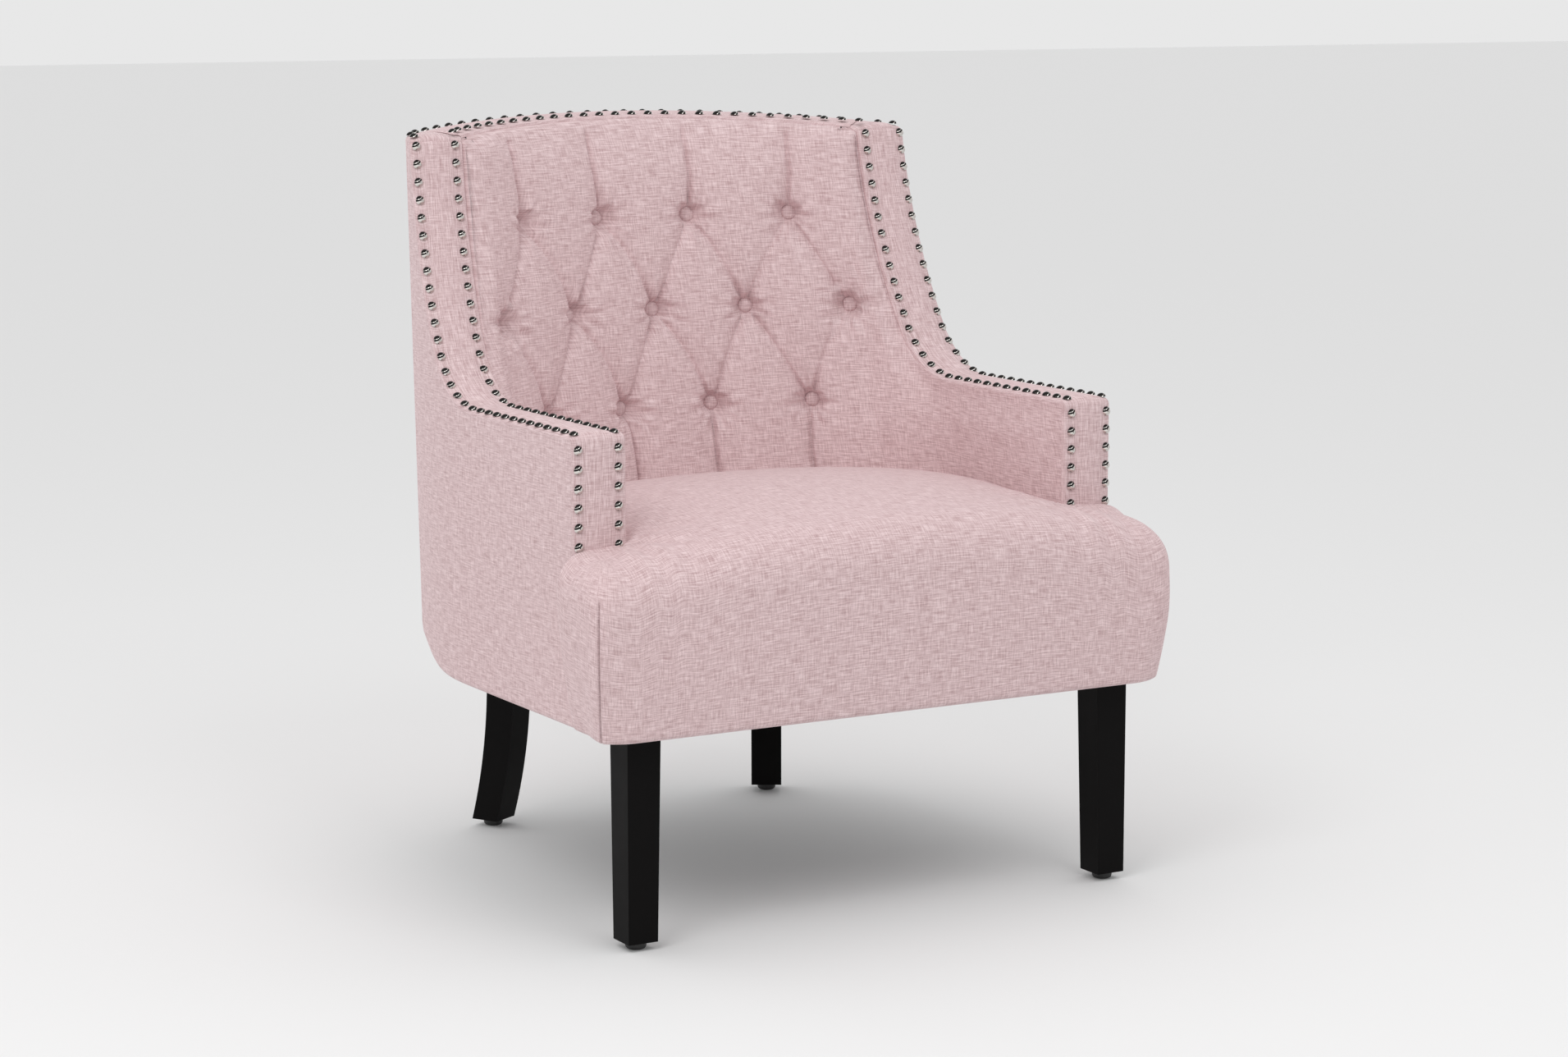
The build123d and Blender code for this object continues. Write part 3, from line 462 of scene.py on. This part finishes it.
GIRTHS = girth_table()


def girth(theta, z):
    """Length round the inside surface from its middle, at the given angles and heights."""
    i = np.clip((theta - THETAS[0]) / (THETAS[1] - THETAS[0]), 0, len(THETAS) - 1.001)
    j = np.clip((z - HEIGHTS[0]) / (HEIGHTS[1] - HEIGHTS[0]), 0, len(HEIGHTS) - 1.001)
    a, b = i.astype(int), j.astype(int)
    p, q = i - a, j - b
    here = GIRTHS[a, b] * (1 - p) + GIRTHS[a + 1, b] * p
    above = GIRTHS[a, b + 1] * (1 - p) + GIRTHS[a + 1, b + 1] * p
    return here * (1 - q) + above * q


BUTTONS = sorted(islands(frame["nodes"]["tuft_buttons"].data), key=lambda c: (-c[2], c[0]))
BUTTON_ROWS = (0.740, 0.629, 0.515)
BUTTON_DEPTH = 0.036
FACE_LIFT = 0.005        # the filled pillows stand this far off the frame's padded face
FOLD_REACH = 0.052       # half width of a fold's valley
CREASE_REACH = 0.0024    # half width of the crease at its bottom
BUTTON_REACH = 0.016     # radius of the hollow round a button


def button_girth(centre):
    """A button's place as (girth, height), signed by side."""
    side = np.sign(centre[0]) if abs(centre[0]) > 0.004 else 0.0
    u = FACE_RADIUS * np.arcsin(abs(centre[0]) / FACE_RADIUS)
    return side * u, centre[2]


def folds():
    """Buttons' places, and fold lines as start, end, and depth at the start, middle and end."""
    places = [button_girth(c) for c in BUTTONS]
    rows = [sorted(p for p in places if abs(p[1] - z) < 0.03) for z in BUTTON_ROWS]
    neighbours = 0.085
    lines = []
    for upper, lower in ((rows[0], rows[1]), (rows[1], rows[2])):
        for a in upper:
            for b in lower:
                if abs(a[0] - b[0]) < neighbours:
                    lines.append((a, b, 1.0, 0.34, 1.0))
    for u, z in rows[0]:
        lines.append(((u, z), (u * 1.05, 0.866), 1.0, 0.42, 0.30))
    for u, z in rows[2]:
        lines.append(((u, z), (u * 0.98, 0.400), 1.0, 0.50, 0.45))
    for u, z in (rows[1][0], rows[1][-1]):
        lines.append(((u, z), (u + 0.085 * np.sign(u), z + 0.006), 1.0, 0.28, 0.05))
    return places, lines


def tuft_depth(u, z):
    """How far the cover lies behind the padded face."""
    places, lines = folds()
    total = np.zeros(u.shape)
    for (au, az), (bu, bz), first, middle, last in lines:
        du, dz = bu - au, bz - az
        t = np.clip(((u - au) * du + (z - az) * dz) / (du * du + dz * dz), 0, 1)
        bow = 0.004 * np.sin(pi * t) * np.sign(du if du else 1.0)
        away = np.hypot(u - au - t * du - bow, z - az - t * dz)
        ends = np.where(t < 0.5, first, last)
        along = middle + (ends - middle) * np.abs(2 * t - 1) ** 2.6
        q = np.clip(away / FOLD_REACH, 0, 1)
        valley = 1 - np.sqrt(1 - (1 - q) ** 2 * 0.999)
        crease = np.exp(-((away / CREASE_REACH) ** 2))
        total = np.maximum(total, (along * 0.86 * valley + (0.06 + 0.08 * along) * crease) * BUTTON_DEPTH)
    for cu, cz in places:
        du, dz = u - cu, z - cz
        away, phase = np.hypot(du, dz), np.arctan2(dz, du)
        total = np.maximum(total, BUTTON_DEPTH * np.exp(-((away / BUTTON_REACH) ** 2)))
        # small gathers stand round each button
        gathers = np.sin(11 * phase + 5 * cu / 0.1) + 0.6 * np.sin(7 * phase + 3 * cz / 0.1)
        total += 0.0011 * gathers * np.exp(-(((away - 0.023) / 0.013) ** 2))
    return total


def inside_rim():
    """The band's inner edge from the arm's front corner on, with its angle about the axis, always rising."""
    edge = BAND_POINTS[ARM_CORNER_ROW:, -1]
    order = np.unwrap(np.arctan2(edge[:, 1] - AXIS_Y, edge[:, 0]))
    keep = [0]
    for i in range(1, len(order)):
        if order[i] > order[keep[-1]] + 0.0010:
            keep.append(i)
    keep[-1] = len(order) - 1
    return edge[keep], order[keep]


def distance_to_rim(edge, order, u, z):
    """Distance over the inside surface to the nearest point of its rim, up to 1 m."""
    nearest = np.full(u.shape, 1.0)
    for a, b in zip(girth(order, edge[:, 2]), edge[:, 2]):
        nearest = np.minimum(nearest, np.hypot(u - a, z - b))
    return nearest


def make_inside():
    """Inside arms and tufted back in one surface, from the band's inner edge down into the seat."""
    edge, order = inside_rim()
    rim_z = edge[:, 2][:, None]
    # rows are closer together just under the rim
    drop = np.concatenate((np.linspace(0, 0.06, 31)[:-1], np.linspace(0.06, 1, 350)))
    z = rim_z + (INSIDE_BOTTOM - rim_z) * drop[None, :]
    theta = np.repeat(order[:, None], z.shape[1], 1)
    r = inside_radius_at(theta, z)
    u, below = girth(theta, z), rim_z - z
    from_front = r * np.sin(theta) + AXIS_Y - ARM_FRONT
    from_rim = distance_to_rim(edge, order, u, z)
    # the pad swells out from the rim
    reach = 0.022 + 0.056 * smooth((0.240 - u) / 0.12)
    rise = np.sqrt(1 - (1 - np.clip(from_rim / reach, 0, 1)) ** 2)
    swell = 0.007 * smooth((u - 0.22) / 0.08) * smooth(below / 0.05) * smooth((from_front - EDGE) / 0.05)
    swell = np.maximum(swell, FACE_LIFT * smooth((0.30 - u) / 0.08))
    r_rim = np.hypot(edge[:, 0], edge[:, 1] - AXIS_Y)[:, None]
    tufts = tuft_depth(u, z) * smooth((0.335 - u) / 0.06) * smooth(from_rim / 0.018)
    r = r_rim + (r - swell - r_rim) * rise + tufts * rise
    points = np.stack((r * np.cos(theta), AXIS_Y + r * np.sin(theta), z), -1)
    grain = np.stack((u, z), -1)
    left_grain = (grain * (-1, 1))[::-1][1:]
    return grid("inside", both_halves(points), np.concatenate((grain, left_grain)), flip=True)


# ------------------------------------------------------------------ seat
ROLL_FRONT, ROLL_SIDE = 0.074, 0.048         # how far the roll stands out from the seat's core
DEEP_FRONT, DEEP_SIDE = 0.068, 0.046         # height of the roll
TAPER_FRONT, TAPER_SIDE = 0.03, 0.40         # share of the roll that the boxing draws back in
CORE_X, CORE_Y = SEAT_HALF - ROLL_SIDE, SEAT_FRONT + ROLL_FRONT
SEAT_REAR = 0.190
HEM = 0.007                                  # rounding of the boxing's lower edge
CORNER_SEAM_TOP = 0.392                      # the boxing's front corner seams run below this height


def seat_top(x, y):
    """Height of the seat's crowned top."""
    forward = np.clip((-0.100 - y) / 0.176, 0, 2)
    back = np.clip((y + 0.100) / 0.232, 0, 2)
    z = SEAT_CROWN - 0.013 * forward**2 - 0.024 * back**2 - 0.026 * (np.abs(x) / CORE_X) ** 2.2
    # pulls in the cloth from the notch round each arm's front
    dx, dy = HALF - BAND - np.abs(x), ARM_FRONT - y
    away, phase = np.hypot(dx, dy), np.arctan2(dy, dx)
    z += 0.0022 * np.sin(6.5 * phase + 0.6) * np.exp(-(((away - 0.05) / 0.042) ** 2))
    return z - 0.0025 * np.exp(-((away / 0.022) ** 2))


def seat_rim():
    """The right half of the core's outline, as (point, outward angle), from the rear round to the front."""
    seam = 0.02
    rim = [((CORE_X, y), 0.0) for y in np.linspace(ARM_FRONT, CORE_Y, 9)]
    for angle in sorted([*np.linspace(0, pi / 2, 27)[1:-1], pi / 4 - seam, pi / 4 + seam]):
        rim.append(((CORE_X, CORE_Y), angle))
    for x in np.linspace(CORE_X, 0, 66):
        rim.append(((x, CORE_Y), pi / 2))
    return rim


def seat_section(core, angle):
    """Points from the core's rim over the roll, down the boxing and in under the seat."""
    x, y = core
    top = float(seat_top(np.array(x), np.array(y)))
    c, k = cos(angle), sin(angle)
    side = c**2
    front = 1 - side
    deep = DEEP_SIDE * side + DEEP_FRONT * front
    on_seam = np.exp(-(((angle - pi / 4) / 0.012) ** 2))

    def place(across, z, square):
        n = (abs(c) ** square + abs(k) ** square) ** (-1 / square)
        n *= 1 - 0.060 * on_seam * float(smooth(np.array((CORNER_SEAM_TOP - z) / 0.010)))
        return (x + across * ROLL_SIDE * c * n, y - across * ROLL_FRONT * k * n, z)

    points = [(x, y, top)]
    power = 2 / 2.5
    for roll in np.linspace(0, pi / 2, 24)[1:]:
        height = top - deep * (1 - cos(roll) ** power)
        points.append(place(sin(roll) ** power, height, 2.4 + 4.6 * (roll / (pi / 2)) ** 2))
    widest, low = top - deep, BOTTOM + HEM
    for share in np.linspace(0, 1, 34)[1:]:
        taper = TAPER_SIDE * share**1.5 * side + TAPER_FRONT * share * front
        swell = 0.03 * sin(pi * share) * front
        square = 7.0 + 6.0 * float(smooth(np.array(share * 2.0)))
        points.append(place(1 - taper + swell, widest + (low - widest) * share, square))
    for turn in np.linspace(0, pi / 2, 6)[1:]:
        inward = HEM * (1 - cos(turn)) / ROLL_SIDE
        reach = 1 - TAPER_SIDE * side - TAPER_FRONT * front - inward
        points.append(place(reach, BOTTOM + HEM * (1 - sin(turn)), 13.0))
    points.append(place(0.0, BOTTOM + 0.0003, 13.0))
    return points


def make_seat_front():
    """The roll and boxing, from one arm's front round to the other's."""
    columns = np.array([seat_section(core, angle) for core, angle in seat_rim()])
    # the rear of the side turns in against the arm
    closed = columns[0].copy()
    closed[:, 0] = np.minimum(closed[:, 0], HALF - 0.006)
    tucks = []
    for inward, back in ((1.0, 0.0), (0.16, 0.0006), (0.06, 0.0022), (0.015, 0.0050)):
        column = columns[0].copy()
        column[:, 0] += inward * (closed[:, 0] - column[:, 0])
        column[:, 1] -= back
        tucks.append(column)
    whole = both_halves(np.concatenate((np.array(tucks), columns[2:])))
    boxing_row = 30
    across = run_along(whole[:, boxing_row])
    across -= across[len(across) // 2]
    down = run_along(whole[len(whole) // 2])
    uv = np.stack(np.meshgrid(across, -down, indexing="ij"), -1)
    return grid("seat_front", whole, uv, flip=True)


def make_seat_top():
    """The top panel, out to the core's rim and back under the inside arms and back."""
    xs = np.linspace(-CORE_X, CORE_X, 161)
    ys = np.concatenate((np.linspace(CORE_Y, ARM_FRONT, 8), np.linspace(ARM_FRONT, SEAT_REAR, 100)[1:]))
    x, y = np.meshgrid(xs, ys, indexing="ij")
    z = seat_top(x, y)
    # it sinks where it meets the arms and the back
    half = HALF - BAND
    behind_arm_front = smooth((y - ARM_FRONT - 0.004) / 0.03)
    z -= 0.012 * np.exp(-np.clip(half - np.abs(x), 0, 1) / 0.016) * behind_arm_front
    z -= 0.016 * np.exp(-np.clip(padded_face(x, z) - y, 0, 1) / 0.020)
    points = np.stack((x, y, z), -1)
    inside = (np.abs(x) < half + 0.012) | (y < ARM_FRONT + 0.020)
    keep = inside[:-1, :-1] & inside[1:, :-1] & inside[1:, 1:] & inside[:-1, 1:]
    uv = np.stack((x, y), -1).reshape(-1, 2)
    return surface("seat_top", points.reshape(-1, 3), grid_faces(*x.shape)[keep], uv)


# ------------------------------------------------------------------ buttons and dust sheet
def make_buttons():
    """Fabric-covered buttons, domed and a little flat on top, one in each hollow."""
    rings = [(0.0, 0.0046), (0.0030, 0.0045), (0.0055, 0.0040), (0.0075, 0.0031), (0.0090, 0.0018),
             (0.0098, 0.0002), (0.0099, -0.0020), (0.0092, -0.0040)]
    turns = 36
    tilt = 0.12
    stand_off = 0.0075
    points, faces, uv = [], [], []
    for number, centre in enumerate(BUTTONS):
        facing = np.array((-centre[0] / FACE_RADIUS, -1.0, 0.0))
        facing /= np.linalg.norm(facing)
        facing = facing * cos(tilt) + np.array((0.0, 0.0, sin(tilt)))
        level = np.cross((0.0, 0.0, 1.0), facing)
        level /= np.linalg.norm(level)
        rise = np.cross(facing, level)
        out = np.array((centre[0], padded_face(centre[0], centre[2]) - AXIS_Y, 0.0))
        hollow = 1 + (BUTTON_DEPTH - FACE_LIFT) / np.linalg.norm(out)
        base = np.array((0.0, AXIS_Y, centre[2])) + out * hollow + facing * stand_off
        first = len(points)
        for radius, height in rings:
            for k in range(turns):
                angle = 2 * pi * k / turns
                pucker = 1 + 0.012 * sin(9 * angle + number) * (height < 0.003)
                a, b = radius * pucker * cos(angle), radius * pucker * sin(angle)
                points.append(base + a * level + b * rise + height * facing)
                uv.append((a + 0.05 * number, b))
        for ring in range(len(rings) - 1):
            for k in range(turns):
                a, b = first + ring * turns + k, first + ring * turns + (k + 1) % turns
                faces.append((a, a + turns, b + turns, b))
    return surface("buttons", points, faces, uv)


def make_dust_sheet():
    """Thin black cloth under the seat, stapled inside the covers' turned edges."""
    outline = [wall(s, BOTTOM, under_radius(s) + 0.010)[:2] for s in np.linspace(0, HALF_PLAN, 80)]
    outline_x, outline_y = np.array(outline).T
    rows = []
    for y in np.linspace(SEAT_FRONT + 0.030, outline_y[-1] - 0.001, 60):
        reach = HALF - 0.020 if y < ARM_FRONT else float(np.interp(y, outline_y, outline_x))
        across = np.linspace(-reach, reach, 41)
        rows.append([(x, y, BOTTOM + 0.0012 + 0.001 * cos(pi * x / reach / 2)) for x in across])
    points = np.array(rows)
    return grid("dust_sheet", points, lengths(points))


# ------------------------------------------------------------------ materials
def node(tree, kind, **values):
    """A new shader node. A value named in_Some_Input sets that input, and any other sets a property."""
    made = tree.nodes.new(kind)
    for key, value in values.items():
        if key.startswith("in_"):
            made.inputs[key[3:].replace("_", " ")].default_value = value
        else:
            setattr(made, key, value)
    return made


def new_material(name):
    """A material with its node tree, the tree's link function and its shader."""
    material = bpy.data.materials.new(name)
    material.use_nodes = True
    tree = material.node_tree
    return material, tree, tree.links.new, tree.nodes["Principled BSDF"]


def fabric(name, dark, light, nap=0.5):
    """Woven chenille: slubs along both threads, a mottled nap and a soft sheen."""
    material, tree, link, bsdf = new_material(name)
    bsdf.inputs["Roughness"].default_value = 0.95
    bsdf.inputs["Specular IOR Level"].default_value = 0.10
    bsdf.inputs["Sheen Weight"].default_value = 0.35
    bsdf.inputs["Sheen Roughness"].default_value = 0.45
    bsdf.inputs["Sheen Tint"].default_value = (1.0, 0.90, 0.91, 1.0)
    uv = node(tree, "ShaderNodeUVMap", uv_map="grain")

    def threads(scale, detail):
        mapping = node(tree, "ShaderNodeMapping", in_Scale=scale)
        link(uv.outputs["UV"], mapping.inputs["Vector"])
        noise = node(tree, "ShaderNodeTexNoise", in_Scale=1.0, in_Detail=detail, in_Roughness=0.6)
        link(mapping.outputs["Vector"], noise.inputs["Vector"])
        return noise.outputs["Fac"]

    def mixed(a, b, share):
        mix = node(tree, "ShaderNodeMix", data_type="FLOAT")
        mix.inputs[0].default_value = share
        link(a, mix.inputs[2])
        link(b, mix.inputs[3])
        return mix.outputs[0]

    across = threads((50.0, 700.0, 1.0), 3.0)
    down = threads((700.0, 60.0, 1.0), 3.0)
    mottle = threads((150.0, 170.0, 1.0), 6.0)
    speck = threads((900.0, 900.0, 1.0), 2.0)
    pattern = mixed(mixed(across, down, 0.42), speck, 0.10)
    pattern = mixed(pattern, mottle, 0.14 * nap)
    ramp = node(tree, "ShaderNodeValToRGB")
    link(pattern, ramp.inputs["Fac"])
    for element, position, colour in zip(ramp.color_ramp.elements, (0.39, 0.61), (dark, light)):
        element.position = position
        element.color = (*colour, 1.0)
    link(ramp.outputs["Color"], bsdf.inputs["Base Color"])
    bump = node(tree, "ShaderNodeBump", in_Strength=0.5, in_Distance=0.0008)
    link(pattern, bump.inputs["Height"])
    link(bump.outputs["Normal"], bsdf.inputs["Normal"])
    return material


def plain(name, colour, rough, metal=0.0, scale=60.0, spread=0.08, bump_size=0.0, shine_level=0.5):
    """A solid finish with a slight drift of colour and roughness."""
    material, tree, link, bsdf = new_material(name)
    bsdf.inputs["Metallic"].default_value = metal
    bsdf.inputs["Specular IOR Level"].default_value = shine_level
    place = node(tree, "ShaderNodeTexCoord")
    noise = node(tree, "ShaderNodeTexNoise", in_Scale=scale, in_Detail=4.0)
    link(place.outputs["Object"], noise.inputs["Vector"])
    ramp = node(tree, "ShaderNodeValToRGB")
    ramp.color_ramp.elements[0].color = (*[c * (1 - spread) for c in colour], 1.0)
    ramp.color_ramp.elements[1].color = (*[min(1.0, c * (1 + spread)) for c in colour], 1.0)
    link(noise.outputs["Fac"], ramp.inputs["Fac"])
    link(ramp.outputs["Color"], bsdf.inputs["Base Color"])
    shine = node(tree, "ShaderNodeMapRange", in_To_Min=rough * 0.85, in_To_Max=rough * 1.15)
    link(noise.outputs["Fac"], shine.inputs["Value"])
    link(shine.outputs["Result"], bsdf.inputs["Roughness"])
    if bump_size:
        bump = node(tree, "ShaderNodeBump", in_Strength=0.3, in_Distance=bump_size)
        link(noise.outputs["Fac"], bump.inputs["Height"])
        link(bump.outputs["Normal"], bsdf.inputs["Normal"])
    return material


def painted_reflection_metal(name):
    """Bright plated metal whose base colour holds painted reflections: painted dark and light bands of a
    studio and a narrow painted highlight, set by which way it faces.
    """
    # painted reflection: base colour levels by the normal's turn toward a fixed direction, dark where it
    # turns toward it, bright where it turns away; the narrow bright stop at 0.70 is a painted highlight
    painted_reflection_stops = ((0.0, 0.62), (0.20, 0.80), (0.32, 0.85), (0.42, 0.03),
             (0.64, 0.02), (0.70, 0.80), (0.75, 0.03), (0.95, 0.02))
    material, tree, link, bsdf = new_material(name)
    bsdf.inputs["Metallic"].default_value = 1.0
    bsdf.inputs["Roughness"].default_value = 0.16
    facing = node(tree, "ShaderNodeNewGeometry")
    turned = node(tree, "ShaderNodeVectorMath", operation="DOT_PRODUCT")
    turned.inputs[1].default_value = (-0.45, -0.20, 0.87)
    link(facing.outputs["Normal"], turned.inputs[0])
    ramp = node(tree, "ShaderNodeValToRGB")
    link(turned.outputs["Value"], ramp.inputs["Fac"])
    ramp.color_ramp.elements[0].position = painted_reflection_stops[0][0]
    ramp.color_ramp.elements[1].position = painted_reflection_stops[-1][0]
    for position, _ in painted_reflection_stops[1:-1]:
        ramp.color_ramp.elements.new(position)
    for element, (_, level) in zip(ramp.color_ramp.elements, painted_reflection_stops):
        element.color = (level, level * 0.95, level * 0.90, 1.0)
    link(ramp.outputs["Color"], bsdf.inputs["Base Color"])
    return material


PINK_DARK, PINK_LIGHT = (0.50, 0.335, 0.342), (0.84, 0.67, 0.68)
cloth = fabric("chenille", PINK_DARK, PINK_LIGHT)
cloth_nap = fabric("chenille_nap", PINK_DARK, PINK_LIGHT, nap=1.6)
FINISH = {
    "upholstery": cloth,
    "black_wood": plain("black_lacquer", (0.0055, 0.005, 0.005), 0.45, scale=40.0, shine_level=0.05),
    "glide_plastic": plain("glide_plastic", (0.02, 0.02, 0.02), 0.5),
    "zinc_steel": plain("zinc_steel", (0.6, 0.6, 0.6), 0.35, metal=1.0),
    # nickel nail heads, with painted reflections and a painted highlight in their base colour
    "nickel": painted_reflection_metal("nickel"),
    "foam": plain("foam", (0.85, 0.80, 0.60), 0.95, scale=300.0, bump_size=0.001),
    "dust_cloth": plain("dust_cloth", (0.02, 0.02, 0.022), 0.95, scale=500.0, bump_size=0.0005),
    "webbing_jute": plain("jute", (0.50, 0.38, 0.24), 0.9, scale=400.0, bump_size=0.0005),
    "frame_wood": plain("frame_wood", (0.62, 0.45, 0.27), 0.6, scale=30.0),
}
for entry in frame["record"]["subparts"]:
    item = frame["nodes"][entry["node"]]
    item.data.materials.clear()
    item.data.materials.append(FINISH[entry["material_slot"]])


# ------------------------------------------------------------------ pieces
def dress(item, material, nodes):
    """Covers a padded piece in cloth, in place of the frame's own nodes."""
    item.data.materials.append(material)
    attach(item, "root")
    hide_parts(*nodes)


band_right, band_left, band_top = make_bands()
dress(band_right, cloth, ["edge_band_right", "edge_pad_right"])
dress(band_left, cloth, ["edge_band_left", "edge_pad_left"])
dress(band_top, cloth, ["top_band", "top_pad"])
outside_right, outside_left, outside_back = make_outside()
dress(outside_right, cloth_nap, ["outside_arm_cover_right", "side_panel_right"])
dress(outside_left, cloth_nap, ["outside_arm_cover_left", "side_panel_left"])
dress(outside_back, cloth_nap, ["outside_back_cover"])
INSIDE_NODES = [
    "inside_back_cover", "back_foam",
    "inside_arm_cover_left", "inside_arm_cover_right",
    "inside_arm_pad_left", "inside_arm_pad_right",
]
dress(make_inside(), cloth, INSIDE_NODES)
dress(make_seat_front(), cloth, ["seat_boxing_left", "seat_boxing_right", "front_rail_pad"])
dress(make_seat_top(), cloth, ["seat_cover", "seat_foam"])
dress(make_buttons(), cloth, ["tuft_buttons"])

dust = make_dust_sheet()
dust.data.materials.append(FINISH["dust_cloth"])
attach(dust, "root")
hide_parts("dust_cover")

# ------------------------------------------------------------------ stage, light and camera
scene = bpy.context.scene
scene.view_settings.view_transform = "Standard"
STUDIO_GREY = (0.79, 0.79, 0.79, 1.0)


def make_world():
    """A pale studio, darker on the sitter's side and brighter overhead."""
    world = bpy.data.worlds.new("studio")
    world.use_nodes = True
    tree = world.node_tree
    link = tree.links.new
    background = tree.nodes["Background"]
    background.inputs[0].default_value = STUDIO_GREY
    toward = node(tree, "ShaderNodeTexCoord")
    parts = node(tree, "ShaderNodeSeparateXYZ")
    link(toward.outputs["Generated"], parts.inputs[0])
    depth = node(tree, "ShaderNodeMapRange", in_From_Min=-0.9, in_From_Max=0.1)
    height = node(tree, "ShaderNodeMapRange", in_From_Min=0.15, in_From_Max=1.0)
    for part, darkest, brightest in ((depth, 0.66, 1.02), (height, 1.0, 1.25)):
        part.inputs["To Min"].default_value = darkest
        part.inputs["To Max"].default_value = brightest
    link(parts.outputs["Y"], depth.inputs["Value"])
    link(parts.outputs["Z"], height.inputs["Value"])
    both = node(tree, "ShaderNodeMath", operation="MULTIPLY")
    link(depth.outputs["Result"], both.inputs[0])
    link(height.outputs["Result"], both.inputs[1])
    link(both.outputs[0], background.inputs[1])
    return world


def make_floor():
    """A plain pale floor that glows very slightly."""
    bpy.ops.mesh.primitive_plane_add(size=60)
    floor = bpy.context.object
    floor.name = "floor"
    finish = plain("floor", (0.80, 0.80, 0.80), 0.9, scale=2.0, spread=0.005)
    shader = finish.node_tree.nodes["Principled BSDF"]
    shader.inputs["Emission Color"].default_value = STUDIO_GREY
    shader.inputs["Emission Strength"].default_value = 0.05
    floor.data.materials.append(finish)
    return floor


def aim(item, target):
    """Turns a lamp or camera to look at a point."""
    item.rotation_euler = (Vector(target) - item.location).to_track_quat("-Z", "Y").to_euler()


def lamp(name, place, target, size, power):
    """A square area light."""
    data = bpy.data.lights.new(name, "AREA")
    data.size = size
    data.energy = power
    item = bpy.data.objects.new(name, data)
    item.location = place
    aim(item, target)
    scene.collection.objects.link(item)


scene.world = make_world()
make_floor()
lamp("key", (-2.2, -1.5, 2.9), (0, 0, 0.5), 1.5, 24)
lamp("fill", (0.2, -2.3, 3.1), (0, 0.1, 0.5), 1.6, 17)

view_data = bpy.data.cameras.new("camera")
view_data.lens = 83.74
view_data.sensor_width = 36.0
eye = bpy.data.objects.new("camera", view_data)
eye.location = (-2.068, -3.676, 1.057)
aim(eye, (0, -0.096, 0.404))
scene.collection.objects.link(eye)
scene.camera = eye
